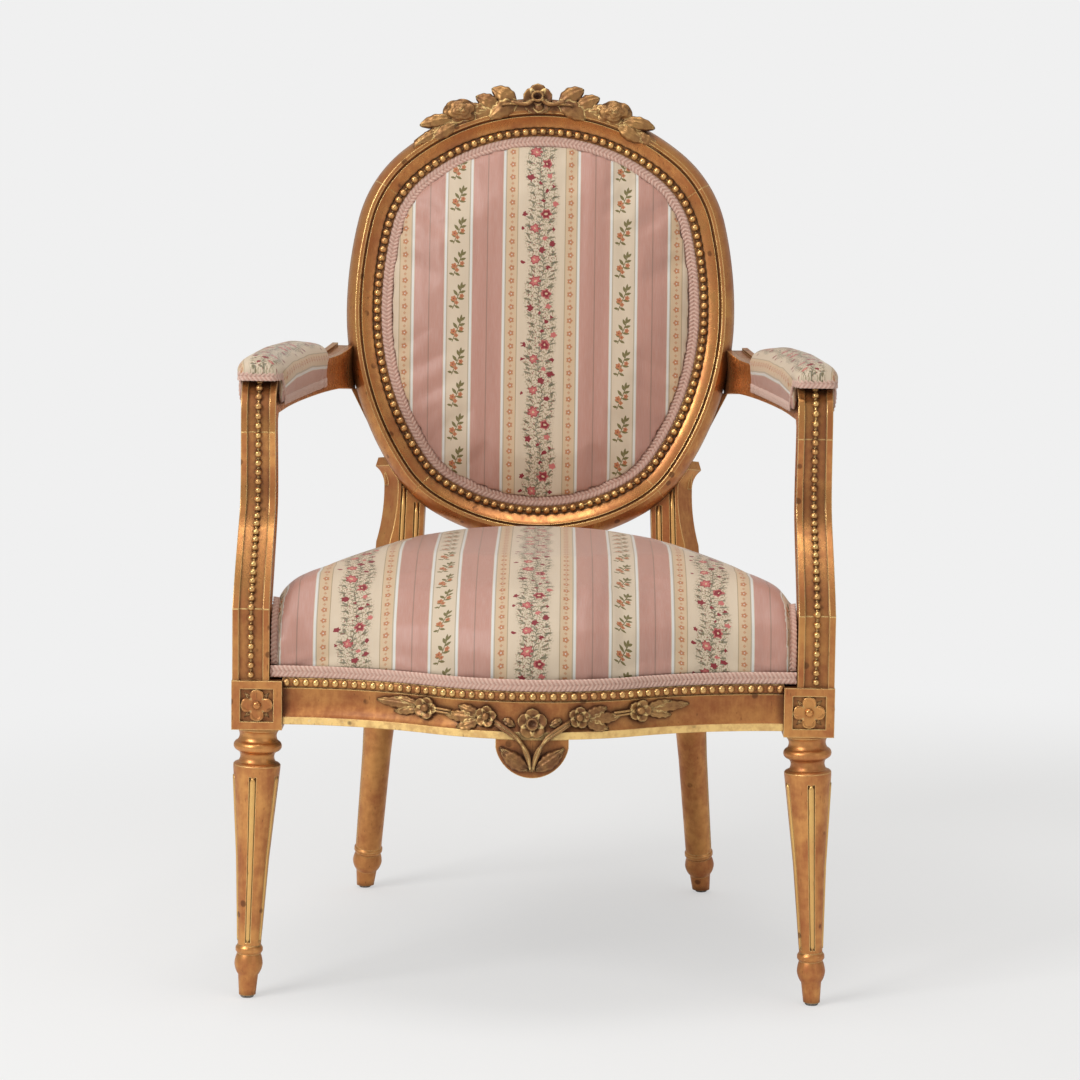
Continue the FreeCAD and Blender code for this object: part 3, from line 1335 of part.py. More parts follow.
def back_dome(shrink, low):
    """Crown of the back pad inside its braid."""
    edge = -BACK_PAD_EDGE - shrink
    rise = BACK_PAD_RISE - shrink
    inner = BACK_PAD_MIDDLE
    ring = oval_ring(((inner, low), [((edge, low),), ((edge - 2, rise * 0.30),),
                                     ((edge - 13, rise * 0.66),), ((edge - 36, rise * 0.90),),
                                     ((inner, rise * 0.97),)]))
    middle = Part.Face(oval_wire(1.0, inner, low)).extrude(V(0, 0, rise * 0.97 - low))
    return joined([ring, middle])


PAD_LOW = -REBATE_DEPTH + 2 * WEB_THICK + 2 * CLOTH_GAP


def back_cover():
    """Front cover of the back: a flange under the braid and the crowned middle."""
    flange = Part.Face(oval_wire(1.0, -5.6, PAD_LOW)).extrude(V(0, 0, COVER_THICK))
    whole = flange.fuse(back_dome(0.0, PAD_LOW + COVER_THICK / 2))
    inner = back_dome(COVER_THICK, PAD_LOW - 2)
    return in_back(whole.cut(inner))


def back_stuffing():
    return in_back(back_dome(COVER_THICK + CLOTH_GAP, PAD_LOW + CLOTH_GAP))


def back_webbing():
    """Webbing across the oval, tacked into the front rebate."""
    low = -REBATE_DEPTH + CLOTH_GAP / 3
    bands = []
    for number in (-1, 0, 1):
        x = number * 95.0
        bands.append(box(x - WEB_WIDTH / 2, x + WEB_WIDTH / 2, -FAR, FAR, low, low + WEB_THICK))
        y = number * 105.0 - 10
        bands.append(box(-FAR, FAR, y - WEB_WIDTH / 2, y + WEB_WIDTH / 2, low + WEB_THICK,
                         low + 2 * WEB_THICK))
    inside = Part.Face(oval_wire(1.0, -7.0, low - 1)).extrude(V(0, 0, 5))
    return in_back(joined(bands).common(inside))


def back_gimp():
    low = PAD_LOW + COVER_THICK + CLOTH_GAP / 3
    section = ((-5.8, low), [((-7.3, low + GIMP_THICK),), ((-4.3 - GIMP_WIDTH, low + GIMP_THICK),),
                             ((-5.8 - GIMP_WIDTH, low),)])
    return in_back(oval_ring(section))


def back_outside_cover():
    """Cloth on the rear of the oval, let into the rear rebate."""
    out = -MOULDING_IN + BACK_REBATE_WIDTH - CLOTH_GAP
    low = -MOULDING_BACK + BACK_REBATE_DEPTH - CLOTH_GAP / 3 - COVER_THICK
    return in_back(Part.Face(oval_wire(1.0, out, low)).extrude(V(0, 0, COVER_THICK)))


def back_outside_gimp():
    out = -MOULDING_IN + BACK_REBATE_WIDTH - CLOTH_GAP
    top = -MOULDING_BACK + BACK_REBATE_DEPTH - CLOTH_GAP / 2 - COVER_THICK
    section = ((out, top), [((out - 1.5, top - GIMP_THICK),),
                            ((out - GIMP_WIDTH + 1.5, top - GIMP_THICK),),
                            ((out - GIMP_WIDTH, top),)])
    return in_back(oval_ring(section))


# Corner blocks and their screws

def corner_blocks():
    """Glue blocks in the four corners of the seat frame, screwed to the rails."""
    low = RAIL_BOTTOM + 6
    high = RAIL_TOP - 8
    x = RAIL_HALF_SPAN
    y = BLOCK_HALF
    front = Part.Face(Part.makePolygon([
        V(x - 0.1, y - 10, low), V(x - 0.1, y + 0.1, low), V(x + 10, y + 0.1, low),
        V(x + 8, y + 38, low), V(x - 46, y - 22, low), V(x - 28, y - 26, low),
        V(x - 0.1, y - 10, low)])).extrude(V(0, 0, high - low))
    rear_y = rear_rail_y() - RAIL_THICK / 2 + 4
    inner = STILE_IN_BOTTOM
    rear = Part.Face(Part.makePolygon([
        V(inner - 44, rear_y - 0.1, low), V(inner - 3, rear_y - 0.1, low),
        V(inner - 3, stile_front_y(low) - 0.4, low), V(inner + 2, stile_front_y(low) - 0.4, low),
        V(inner + 6, stile_front_y(low) - 42, low),
        V(inner - 44, rear_y - 0.1, low)])).extrude(V(0, 0, high - low))
    tools = [front_rail(), side_rail(), rear_rail(), front_block(), stile()]
    solids = []
    for block in (front, rear):
        for tool in tools:
            block = block.cut(tool)
        solids.append(sorted(block.Solids, key=lambda s: s.Volume)[-1])
    return solids


# All pieces

def build():
    nodes = {}
    pairs = {
        "front_leg": front_leg(), "rear_leg": rear_leg(), "side_rail": side_rail(),
        "arm_support": arm_support(), "arm": arm(), "arm_pad": arm_pad(),
        "arm_pad_gimp": arm_pad_gimp()}
    upper, lower, right = oval_frame()
    pairs["back_frame_side"] = right
    front_block_piece, rear_block_piece = corner_blocks()
    pairs["corner_block_front"] = front_block_piece
    pairs["corner_block_rear"] = rear_block_piece
    for name, shape in pairs.items():
        nodes[name + "_right"] = shape
        nodes[name + "_left"] = mirrored(shape)
    nodes["back_frame_top"] = upper
    nodes["back_frame_bottom"] = lower
    nodes["front_rail"] = front_rail()
    nodes["rear_rail"] = rear_rail()
    nodes["crest_carving"] = crest()
    pins = [in_back(pin) for pin in frame_dowels()]
    nodes["back_frame_dowels"] = Part.makeCompound(pins)
    dowels = [stub_dowel(), support_dowel(), arm_dowel()]
    nodes["arm_dowels"] = Part.makeCompound(dowels + [mirrored(pin) for pin in dowels])
    screws = lap_screws()
    nodes["lap_screws"] = Part.makeCompound(screws + [mirrored(screw) for screw in screws])
    glides = [glide(FRONT_FOOT), glide(REAR_FOOT)]
    nodes["foot_glides"] = Part.makeCompound(glides + [mirrored(one) for one in glides])
    nodes["seat_webbing"] = seat_webbing()
    nodes["seat_hessian"] = seat_hessian()
    nodes["seat_stuffing"] = seat_stuffing()
    nodes["seat_cover"] = seat_cover()
    nodes["seat_gimp"] = seat_gimp()
    nodes["dust_cover"] = dust_cover()
    nodes["back_webbing"] = back_webbing()
    nodes["back_stuffing"] = back_stuffing()
    nodes["back_cover"] = back_cover()
    nodes["back_gimp"] = back_gimp()
    nodes["back_outside_cover"] = back_outside_cover()
    nodes["back_outside_gimp"] = back_outside_gimp()
    return nodes


def main():
    os.makedirs("parts", exist_ok=True)
    nodes = build()
    whole = FreeCAD.BoundBox()
    for shape in nodes.values():
        whole.add(shape.optimalBoundingBox(False))
    shift = V(-(whole.XMin + whole.XMax) / 2, -(whole.YMin + whole.YMax) / 2, -whole.ZMin)
    for name, shape in nodes.items():
        shape.translate(shift)
        solids = len(shape.Solids)
        print(name, "solids", solids, "volume", round(shape.Volume), "valid", shape.isValid())
        shape.exportStep("parts/" + name + ".step")
    print("box", [round(v, 2) for v in (whole.XMin, whole.XMax, whole.YMin, whole.YMax,
                                        whole.ZMin, whole.ZMax)])


main()
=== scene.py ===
import json
import math
import random

import bmesh
import bpy
import numpy as np
from mathutils import Matrix, Vector
from mathutils.bvhtree import BVHTree


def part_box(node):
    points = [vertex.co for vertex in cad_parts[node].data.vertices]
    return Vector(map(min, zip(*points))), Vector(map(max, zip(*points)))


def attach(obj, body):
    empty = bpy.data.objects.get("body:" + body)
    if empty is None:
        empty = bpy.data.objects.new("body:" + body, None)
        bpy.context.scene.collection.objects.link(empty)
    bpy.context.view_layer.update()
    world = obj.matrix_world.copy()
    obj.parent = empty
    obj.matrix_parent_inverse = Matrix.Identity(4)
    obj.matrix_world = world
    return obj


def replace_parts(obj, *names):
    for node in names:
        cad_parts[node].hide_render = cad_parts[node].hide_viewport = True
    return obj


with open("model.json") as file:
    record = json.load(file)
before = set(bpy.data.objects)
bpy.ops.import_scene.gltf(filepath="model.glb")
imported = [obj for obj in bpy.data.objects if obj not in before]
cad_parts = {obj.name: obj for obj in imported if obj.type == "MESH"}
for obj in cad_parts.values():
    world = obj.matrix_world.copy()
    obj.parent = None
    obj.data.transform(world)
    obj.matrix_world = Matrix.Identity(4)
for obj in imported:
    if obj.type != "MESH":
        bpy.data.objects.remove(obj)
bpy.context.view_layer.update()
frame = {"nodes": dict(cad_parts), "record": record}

bl_info = {
    "name": "Carved and gilded armchair",
    "version": (1, 0, 0),
    "blender": (4, 5, 0),
    "location": "View3D > Sidebar > Armchair",
    "description": "Finishes, carving, beads, braid and upholstery on the packed armchair frame",
    "category": "Add Mesh",
}

NODES = frame["nodes"]

# Sizes that the frame was built to, in millimetres. Y counts from the line through the front
# legs, and FRONT_LINE is where that line lies in the row's frame, in metres.
FRONT_LINE = next(m["pos_m"][1] for m in frame["record"]["mounts"]
                  if m["name"] == "foot_front_left")
RAIL_TOP, RAIL_SPAN, RAIL_EDGE_Y, RAIL_BOW, BOW_SHARE = 341.0, 258.0, -23.5, 72.0, 0.41
BLOCK_X, BLOCK_HALF, BLOCK_MID_Z = 284.0, 26.0, 312.5
BLOCK_BOTTOM, SPLAY, FLUTES = 287.0, 10.9, 5
SIDE_FRONT, SIDE_REAR, SIDE_BOW = (307.5, 26.0), (196.5, 451.7), 9.0
STUB_X, STUB_FRONT_Y, STUB_DEPTH, STUB_LOW, STUB_TOP = 290.4, -24.0, 38.0, 338.0, 412.0
SUPPORT_TOP, ARM_FRONT_X, ARM_FRONT_Y, ARM_BEND = 588.0, 289.3, 62.0, 26.5
BAR_GROOVE, STILE_FACE = 3.0, -6.0
BACK_Y, BACK_Z, RAKE = 501.8, 692.4, math.radians(9.09)
OVAL_HALF, OVAL_TOP, OVAL_BOTTOM = 190.0, 209.9, 231.5
UPPER_RADII, LOWER_RADII = (430.0, 114.0, 221.0), (304.5, 100.0, 203.0)

# Places and sizes of what is added here, in millimetres
BEAD_BED_Z, BEAD_BED_OUT, BACK_BED_OUT = RAIL_TOP - 4.9, -6.6, -0.8
ROD_PROUD, STILE_ROD_PROUD = 1.0, 0.9
SEAT_SIDE = ((298.7, -3.0), (242.75 + 8.8, 227.2), (186.8, 457.5))
SEAT_CORNER = (264.5, -150.0)
COVER_INSET, COVER_DEPTH = -8.4, -18.8
BRAID_GAP, BRAID_STEP = 0.4, 1.25
CREST_X = -6.5
PAD_FOOT_Z = RAIL_TOP + 277.5
SEAT_PATTERN_Y, BACK_PATTERN_S = 29, 178
PAD_PATTERN_X, PAD_PATTERN_Y = 8, 20

# A bead's depth and the crest's width as shares, the distance in metres within which split
# corners are joined, and the length of the cushions' simulation
BEAD_SQUASH, CREST_NARROWED = 0.96, 0.955
WELD_M = 0.00002
STUFFING_FRAMES = 20
SIDES = ((1, "right"), (-1, "left"))


# Places

def row(points):
    """Points in the chair's millimetres, as metres in the row's frame."""
    p = np.atleast_2d(np.asarray(points, float)) * 0.001
    p[:, 1] += FRONT_LINE
    return p


def in_back(x, s, n):
    """Chair millimetres of a point across, up and out of the raked oval back."""
    x, s, n = np.broadcast_arrays(x, s, n)
    return np.stack([x, BACK_Y + s * math.sin(RAKE) - n * math.cos(RAKE),
                     BACK_Z + s * math.cos(RAKE) + n * math.sin(RAKE)], -1)


BACK_OUT = in_back(0, 0, 1) - in_back(0, 0, 0)
BACK_UP = in_back(0, 1, 0) - in_back(0, 0, 0)


def oval_quarter(height, radii):
    """Side, corner and half end arc of one quarter: centre, radius and two angles."""
    side, corner, end = radii
    a = np.array([OVAL_HALF - side, 0.0])
    b = np.array([0.0, height - end])
    gap = np.linalg.norm(b - a)
    ra, rb = side - corner, end - corner
    along = (ra ** 2 - rb ** 2 + gap ** 2) / (2 * gap)
    off = math.sqrt(ra ** 2 - along ** 2)
    unit = (b - a) / gap
    turned = np.array([unit[1], -unit[0]])
    c = max((a + unit * along + turned * off, a + unit * along - turned * off), key=sum)
    low = math.atan2(c[1] - a[1], c[0] - a[0])
    high = math.atan2(c[1] - b[1], c[0] - b[0])
    return [(a, side, 0.0, low), (c, corner, low, high), (b, end, high, math.pi / 2)]


def oval_path(out, step=1.0):
    """Closed path round the back, out from its row of beads: points (x, s) and outward normals."""
    right = []
    for sign, quarter in ((-1, oval_quarter(OVAL_BOTTOM, LOWER_RADII)),
                          (1, oval_quarter(OVAL_TOP, UPPER_RADII))):
        part = []
        for c, radius, low, high in quarter:
            count = max(2, int((radius + out) * (high - low) / step))
            for k in range(count):
                turn = low + (high - low) * k / count
                n = np.array([math.cos(turn), math.sin(turn)])
                part.append((c + n * (radius + out), n))
        part.append((np.array([0.0, (OVAL_TOP if sign > 0 else OVAL_BOTTOM) + out]),
                     np.array([0.0, 1.0])))
        part = [(np.array([p[0], sign * p[1]]), np.array([n[0], sign * n[1]])) for p, n in part]
        right += part[::-1] if sign < 0 else part[1:]
    left = [(p * [-1, 1], n * [-1, 1]) for p, n in right[-2:0:-1]]
    both = right + left
    return np.array([p for p, n in both]), np.array([n for p, n in both])


def rail_bow(out):
    """Serpentine front line of the seat rail, moved outwards: points (x, y) and normals."""
    total = (RAIL_SPAN ** 2 + RAIL_BOW ** 2) / (2 * RAIL_BOW)
    inner = BOW_SHARE * total
    outer = total - inner
    sweep = math.asin(RAIL_SPAN / total)
    rows = []
    for k in range(int(outer * sweep)):
        turn = sweep * k / int(outer * sweep)
        n = np.array([-math.sin(turn), -math.cos(turn)])
        centre = np.array([-RAIL_SPAN, RAIL_EDGE_Y - outer])
        rows.append((centre - n * (outer - out), n))
    middle = np.array([0.0, RAIL_EDGE_Y - RAIL_BOW + inner])
    for k in range(int(inner * sweep) + 1):
        turn = -sweep * (1 - k / int(inner * sweep))
        n = np.array([math.sin(turn), -math.cos(turn)])
        rows.append((middle + n * (inner + out), n))
    rows += [(p * [-1, 1], n * [-1, 1]) for p, n in rows[-2::-1]]
    return np.array([p for p, n in rows]), np.array([n for p, n in rows])


def arc_path(a, m, b, out=0.0):
    """Plan arc through three points, moved outwards: points (x, y) and normals."""
    a, m, b = (np.array(p[:2], float) for p in (a, m, b))
    d = 2 * (a[0] * (m[1] - b[1]) + m[0] * (b[1] - a[1]) + b[0] * (a[1] - m[1]))
    ux = (a @ a * (m[1] - b[1]) + m @ m * (b[1] - a[1]) + b @ b * (a[1] - m[1])) / d
    uy = (a @ a * (b[0] - m[0]) + m @ m * (a[0] - b[0]) + b @ b * (m[0] - a[0])) / d
    c = np.array([ux, uy])
    radius = np.linalg.norm(a - c)
    t0, t1 = (math.atan2(*(p - c)[::-1]) for p in (a, b))
    count = max(4, int(radius * abs(t1 - t0)))
    turns = np.linspace(t0, t1, count + 1)
    n = np.stack([np.cos(turns), np.sin(turns)], 1)
    return c + n * (radius + out), n


def side_path(out):
    """Bowed side line of the seat rail, moved outwards."""
    a, b = np.array(SIDE_FRONT), np.array(SIDE_REAR)
    return arc_path(a, (a + b) / 2 + [SIDE_BOW, 0], b, out)


def eased(stations, places):
    """Values on the smooth curve through stations (place, value, ...) at the given places."""
    st = np.array(stations, float)
    rows = []
    for place in places:
        k = int(np.clip(np.searchsorted(st[:, 0], place, side="right") - 1, 0, len(st) - 2))
        low, high = st[k], st[k + 1]
        width = high[0] - low[0]
        t = (place - low[0]) / width

        def slope(i):
            i0, i1 = max(i - 1, 0), min(i + 1, len(st) - 1)
            return (st[i1] - st[i0]) / (st[i1][0] - st[i0][0])
        rise, fall, gap = slope(k) * width, slope(k + 1) * width, high - low
        rows.append(low + rise * t + (3 * gap - 2 * rise - fall) * t ** 2
                    + (rise + fall - 2 * gap) * t ** 3)
    return np.array(rows)


def channel_path():
    """Floor of the channel up the right stub, support and arm front: points and normals."""
    foot_y = STUB_FRONT_Y + STUB_DEPTH / 2
    stations = [(0.0, foot_y, STUB_DEPTH), (0.11, foot_y + 13, 42.0), (0.26, foot_y + 33, 44.0),
                (0.41, foot_y + 54, 43.0), (0.54, foot_y + 70, 38.5), (0.68, foot_y + 74, 35.5),
                (0.84, foot_y + 71, 34.5), (1.0, ARM_FRONT_Y, 34.0)]
    points = [(STUB_X, STUB_FRONT_Y + BAR_GROOVE, z) for z in np.arange(STUB_LOW, STUB_TOP, 1.0)]
    for share, middle, depth in eased(stations, np.linspace(0, 1, 177)):
        points.append((STUB_X + (ARM_FRONT_X - STUB_X) * share, middle - depth / 2 + BAR_GROOVE,
                       STUB_TOP + (SUPPORT_TOP - STUB_TOP) * share))
    middle = SUPPORT_TOP + 10.0 + ARM_BEND
    for share, depth in eased([(0.0, 34.0), (0.5, 42.0), (1.0, 39.0)], np.linspace(0, 1, 50)):
        turn = math.pi / 2 * share
        reach = depth / 2 - BAR_GROOVE
        points.append((ARM_FRONT_X,
                       ARM_FRONT_Y + ARM_BEND * (1 - math.cos(turn)) - reach * math.cos(turn),
                       middle - ARM_BEND * (1 - math.sin(turn)) + reach * math.sin(turn)))
    points = np.array(points)
    along = np.gradient(points, axis=0)
    along /= np.linalg.norm(along, axis=1)[:, None]
    return points, np.stack([0 * along[:, 0], -along[:, 2], along[:, 1]], 1)


def spaced(points, normals, spacing, closed):
    """Evenly spaced places along a path, nearest to the wished spacing."""
    if closed:
        points = np.vstack([points, points[:1]])
        normals = np.vstack([normals, normals[:1]])
    run = np.concatenate([[0], np.cumsum(np.linalg.norm(np.diff(points, axis=0), axis=1))])
    count = max(2, round(run[-1] / spacing))
    marks = np.linspace(0, run[-1], count + 1)
    if closed:
        marks = marks[:-1]
    p = np.stack([np.interp(marks, run, points[:, k]) for k in range(points.shape[1])], 1)
    n = np.stack([np.interp(marks, run, normals[:, k]) for k in range(normals.shape[1])], 1)
    return p, n / np.linalg.norm(n, axis=1)[:, None]


# Settings that a user would change

def srgb(r, g, b):
    """A colour read off a screen, 0 to 255, as linear light."""
    return tuple(((c / 255 + 0.055) / 1.055) ** 2.4 if c > 10 else c / 3295 for c in (r, g, b))


def colour_setting(name, text, rgb):
    return bpy.props.FloatVectorProperty(name=name, description=text, default=srgb(*rgb),
                                         subtype="COLOR", size=3, min=0, max=1)


def length_setting(name, text, millimetres):
    return bpy.props.FloatProperty(name=name, description=text, default=millimetres / 1000,
                                   unit="LENGTH", min=0.0, precision=4)


class ArmchairSizes(bpy.types.PropertyGroup):
    back_bead: length_setting("Back bead", "Diameter of the beads round the back", 8.6)
    back_pitch: length_setting("Back bead spacing", "Spacing of the beads round the back", 10.2)
    rail_bead: length_setting("Rail bead", "Diameter of the beads along the seat rails", 8.6)
    rail_pitch: length_setting("Rail bead spacing", "Spacing of the beads on the rails", 10.2)
    arm_bead: length_setting("Arm bead", "Diameter of the beads up the arm supports", 7.6)
    arm_pitch: length_setting("Arm bead spacing", "Spacing of the beads up the supports", 9.7)
    braid_width: length_setting("Braid width", "Width of the herringbone braid", 12.0)
    braid_pitch: length_setting("Braid pitch", "Length of one herringbone step", 4.6)
    stripe_repeat: length_setting("Stripe repeat", "Width of one repeat of the cloth", 184.0)
    seat_voxel: length_setting("Seat grain", "Mesh size that the seat is stuffed at", 6.0)
    back_voxel: length_setting("Back grain", "Mesh size that the back is stuffed at", 5.0)
    pad_voxel: length_setting("Pad grain", "Mesh size that the arm pads are stuffed at", 4.0)


class ArmchairColours(bpy.types.PropertyGroup):
    leaf: colour_setting("Gold leaf", "Gold where it is whole", (222, 160, 94))
    # Colour of the painted highlights on the edges and fillets of the gilding
    bright: colour_setting("Burnished gold", "Gold on fillets, rods and beads", (252, 218, 146))
    bole: colour_setting("Bole", "Red-brown ground where the gold is rubbed", (174, 104, 60))
    # Colour of the painted shade in the gilding's hollows and channels; the specks and scratches use
    # it too
    shade_and_specks: colour_setting("Crevice", "Dirt and old glaze in the hollows", (84, 48, 26))
    gesso: colour_setting("Gesso", "White ground in the chips", (226, 218, 206))
    pink: colour_setting("Pink stripe", "Satin stripe", (184, 136, 121))
    cream: colour_setting("Cream ground", "Ground of the flowered bands", (206, 187, 162))
    border: colour_setting("Border ground", "Ground of the narrow borders", (202, 174, 140))
    cord: colour_setting("White cord", "Woven white lines", (212, 210, 204))
    red: colour_setting("Red", "Flowers in the garland", (132, 38, 46))
    rose: colour_setting("Rose", "Pale flowers in the garland", (190, 104, 98))
    orange: colour_setting("Orange", "Small flowers in the borders", (178, 112, 72))
    olive: colour_setting("Olive", "Leaves of the sprays", (112, 102, 60))
    fern: colour_setting("Grey fern", "Ferns in the garland", (84, 84, 66))
    braid: colour_setting("Braid", "Pink silk of the braid", (206, 158, 140))
    # Colour of the painted highlight on the braid's strand crowns and of its pale threads
    braid_pale_and_lit: colour_setting("Braid light", "Pale silk of the braid", (232, 198, 180))
    backing: colour_setting("Backing cloth", "Cloth on the outside of the back", (214, 190, 174))
    beech: colour_setting("Beech", "Bare wood inside", (188, 146, 104))
    floor: colour_setting("Floor", "Studio floor", (243, 243, 242))


def sizes():
    return bpy.context.scene.armchair_sizes


def colours():
    return bpy.context.scene.armchair_colours


# Shader building

class Graph:
    """Short words for building a node tree."""

    def __init__(self, tree):
        self.tree = tree

    def put(self, socket, value):
        if isinstance(value, bpy.types.NodeSocket):
            self.tree.links.new(value, socket)
        elif socket.type == "RGBA" and len(value) == 3:
            socket.default_value = (*value, 1.0)
        else:
            socket.default_value = value

    def node(self, kind, inputs=None, **settings):
        made = self.tree.nodes.new(kind)
        for name, value in settings.items():
            setattr(made, name, value)
        for name, value in (inputs or {}).items():
            self.put(made.inputs[name], value)
        return made

    def maths(self, operation, *values):
        made = self.node("ShaderNodeMath", operation=operation)
        for socket, value in zip(made.inputs, values):
            self.put(socket, value)
        return made.outputs[0]

    def add(self, a, b):
        return self.maths("ADD", a, b)

    def take(self, a, b):
        return self.maths("SUBTRACT", a, b)

    def times(self, a, b):
        return self.maths("MULTIPLY", a, b)

    def mix(self, share, a, b):
        made = self.node("ShaderNodeMix", data_type="RGBA")
        for index, value in ((0, share), (6, a), (7, b)):
            self.put(made.inputs[index], value)
        return made.outputs[2]

    def ramp(self, value, low, high, first=0.0, last=1.0):
        made = self.node("ShaderNodeMapRange", interpolation_type="SMOOTHSTEP")
        for index, given in enumerate((value, low, high, first, last)):
            self.put(made.inputs[index], given)
        return made.outputs[0]

    def between(self, value, low, high):
        return self.take(self.maths("GREATER_THAN", value, low),
                         self.maths("GREATER_THAN", value, high))

    def noise(self, vector, scale, detail, rough=0.55):
        made = self.node("ShaderNodeTexNoise", {"Vector": vector, "Scale": scale,
                                                "Detail": detail, "Roughness": rough})
        return made.outputs["Fac"]

    def scaled(self, vector, by):
        made = self.node("ShaderNodeVectorMath", operation="MULTIPLY")
        self.put(made.inputs[0], vector)
        self.put(made.inputs[1], by)
        return made.outputs[0]

    def position(self):
        return self.node("ShaderNodeTexCoord").outputs["Object"]

    def parts(self, vector):
        return self.node("ShaderNodeSeparateXYZ", {"Vector": vector}).outputs

    def openness(self, reach):
        """1 in the open, less in hollows and corners within reach."""
        return self.node("ShaderNodeAmbientOcclusion", {"Distance": reach}, samples=5).outputs["AO"]

    def bump(self, strength, distance, height, **more):
        made = self.node("ShaderNodeBump", {"Strength": strength, "Distance": distance,
                                            "Height": height, **more})
        return made.outputs[0]

    def apply(self, group, **inputs):
        made = self.node("ShaderNodeGroup", node_tree=group)
        for name, value in inputs.items():
            self.put(made.inputs[name.replace("_", " ")], value)
        return made.outputs


def effect(name, inputs, outputs):
    """A new shader group with named sockets. Returns its graph, inputs and outputs."""
    group = bpy.data.node_groups.new(name, "ShaderNodeTree")
    kinds = {"value": "NodeSocketFloat", "colour": "NodeSocketColor", "vector": "NodeSocketVector"}
    for label, kind in inputs:
        group.interface.new_socket(label, in_out="INPUT", socket_type=kinds[kind])
    for label, kind in outputs:
        group.interface.new_socket(label, in_out="OUTPUT", socket_type=kinds[kind])
    graph = Graph(group)
    return group, graph, graph.node("NodeGroupInput").outputs, graph.node("NodeGroupOutput").inputs


def gilding_group():
    """Old leaf gilding: whole and rubbed leaf, painted shade in the hollows, painted highlights on
    the edges, specks and chips.
    """
    group, g, given, out = effect(
        "Old gilding",
        [("Position", "vector"), ("Leaf", "colour"), ("Bole", "colour"), ("Shade", "colour"),
         ("Gesso", "colour"), ("Bright", "colour"), ("Ground", "value"), ("Rub", "value"),
         ("Crevice", "value"), ("Edge", "value"), ("Chips", "value")],
        [("Color", "colour"), ("Roughness", "value"), ("Metal", "value"), ("Relief", "value")])
    p = given["Position"]
    broad = g.noise(p, 19.0, 4.0, 0.6)
    fine = g.noise(p, 95.0, 5.0, 0.65)
    brushed = g.noise(g.scaled(p, (260.0, 260.0, 22.0)), 1.0, 3.0, 0.6)
    worn = g.add(g.times(broad, 0.55), g.add(g.times(fine, 0.30), g.times(brushed, 0.15)))
    rubbed = g.times(g.ramp(worn, 0.34, 0.66), given["Rub"])
    tone = g.mix(rubbed, given["Leaf"], given["Bole"])
    glaze = g.times(g.ramp(g.noise(p, 31.0, 3.0), 0.45, 0.75), 0.45)
    tone = g.mix(glaze, tone, given["Bole"])
    # Painted shade: the wider channels, found by occlusion, darken towards the shade colour
    tone = g.mix(g.times(given["Ground"], g.ramp(broad, 0.3, 0.7, 0.5, 0.8)), tone,
                 given["Shade"])
    # Painted highlight: the edges, broken up by fine noise, are lightened to the highlight gold
    painted_edge_highlight = g.times(given["Edge"], g.ramp(fine, 0.35, 0.6, 0.55, 1.0))
    tone = g.mix(g.times(painted_edge_highlight, 0.95), tone, given["Bright"])
    # Painted shade: the narrow hollows darken to the shade colour
    tone = g.mix(given["Crevice"], tone, given["Shade"])
    cells = g.node("ShaderNodeTexVoronoi", {"Vector": p, "Scale": 40.0, "Randomness": 1.0})
    spot = g.times(g.ramp(cells.outputs["Distance"], 0.17, 0.11), g.ramp(broad, 0.47, 0.56))
    scratch = g.noise(g.scaled(p, (520.0, 520.0, 70.0)), 1.0, 2.0, 0.5)
    spot = g.maths("MAXIMUM", spot, g.times(g.ramp(scratch, 0.70, 0.74), 0.8))
    tone = g.mix(g.times(spot, 0.65), tone, given["Shade"])
    chipped = g.times(g.ramp(g.noise(p, 160.0, 4.0, 0.7), 0.60, 0.66),
                      g.times(g.ramp(broad, 0.46, 0.56), given["Chips"]))
    chipped = g.times(chipped, g.ramp(given["Edge"], 0.1, 0.6))
    tone = g.mix(chipped, tone, given["Gesso"])
    g.put(out["Color"], tone)
    rough = g.add(0.22, g.add(g.times(rubbed, 0.16), g.times(given["Crevice"], 0.35)))
    g.put(out["Roughness"], g.add(rough, g.times(fine, 0.12)))
    metal = g.take(0.92, g.add(g.times(rubbed, 0.30), g.times(given["Crevice"], 0.6)))
    g.put(out["Metal"], g.maths("MAXIMUM", g.take(metal, g.times(chipped, 0.9)), 0.0))
    g.put(out["Relief"], g.take(g.add(g.times(fine, 0.5), g.times(brushed, 0.35)),
                                g.add(g.times(spot, 0.6), g.times(chipped, 0.5))))
    return group


def flower_group():
    """A woven flower seen flat: round petals about a heart."""
    group, g, given, out = effect(
        "Woven flower", [("X", "value"), ("Y", "value"), ("Radius", "value"), ("Petals", "value")],
        [("Flower", "value"), ("Heart", "value"), ("Rim", "value")])
    x, y = given["X"], given["Y"]
    reach = g.maths("SQRT", g.add(g.times(x, x), g.times(y, y)))
    turn = g.times(g.maths("ARCTAN2", y, x), given["Petals"])
    edge = g.times(given["Radius"], g.add(0.86, g.times(g.maths("COSINE", turn), 0.14)))
    g.put(out["Flower"], g.maths("LESS_THAN", reach, edge))
    g.put(out["Heart"], g.maths("LESS_THAN", reach, g.times(given["Radius"], 0.2)))
    g.put(out["Rim"], g.maths("GREATER_THAN", reach, g.times(edge, 0.72)))
    return group


def leaf_group():
    """A woven leaf seen flat: pointed at both ends, from the origin along its turn."""
    group, g, given, out = effect(
        "Woven leaf", [("X", "value"), ("Y", "value"), ("Turn", "value"), ("Length", "value"),
                       ("Width", "value")], [("Leaf", "value")])
    c, s = g.maths("COSINE", given["Turn"]), g.maths("SINE", given["Turn"])
    a = g.maths("DIVIDE", g.add(g.times(given["X"], c), g.times(given["Y"], s)), given["Length"])
    b = g.maths("ABSOLUTE", g.take(g.times(given["Y"], c), g.times(given["X"], s)))
    width = g.times(g.times(given["Width"], 2.0), g.times(a, g.take(1.0, a)))
    g.put(out["Leaf"], g.maths("LESS_THAN", b, width))
    return group


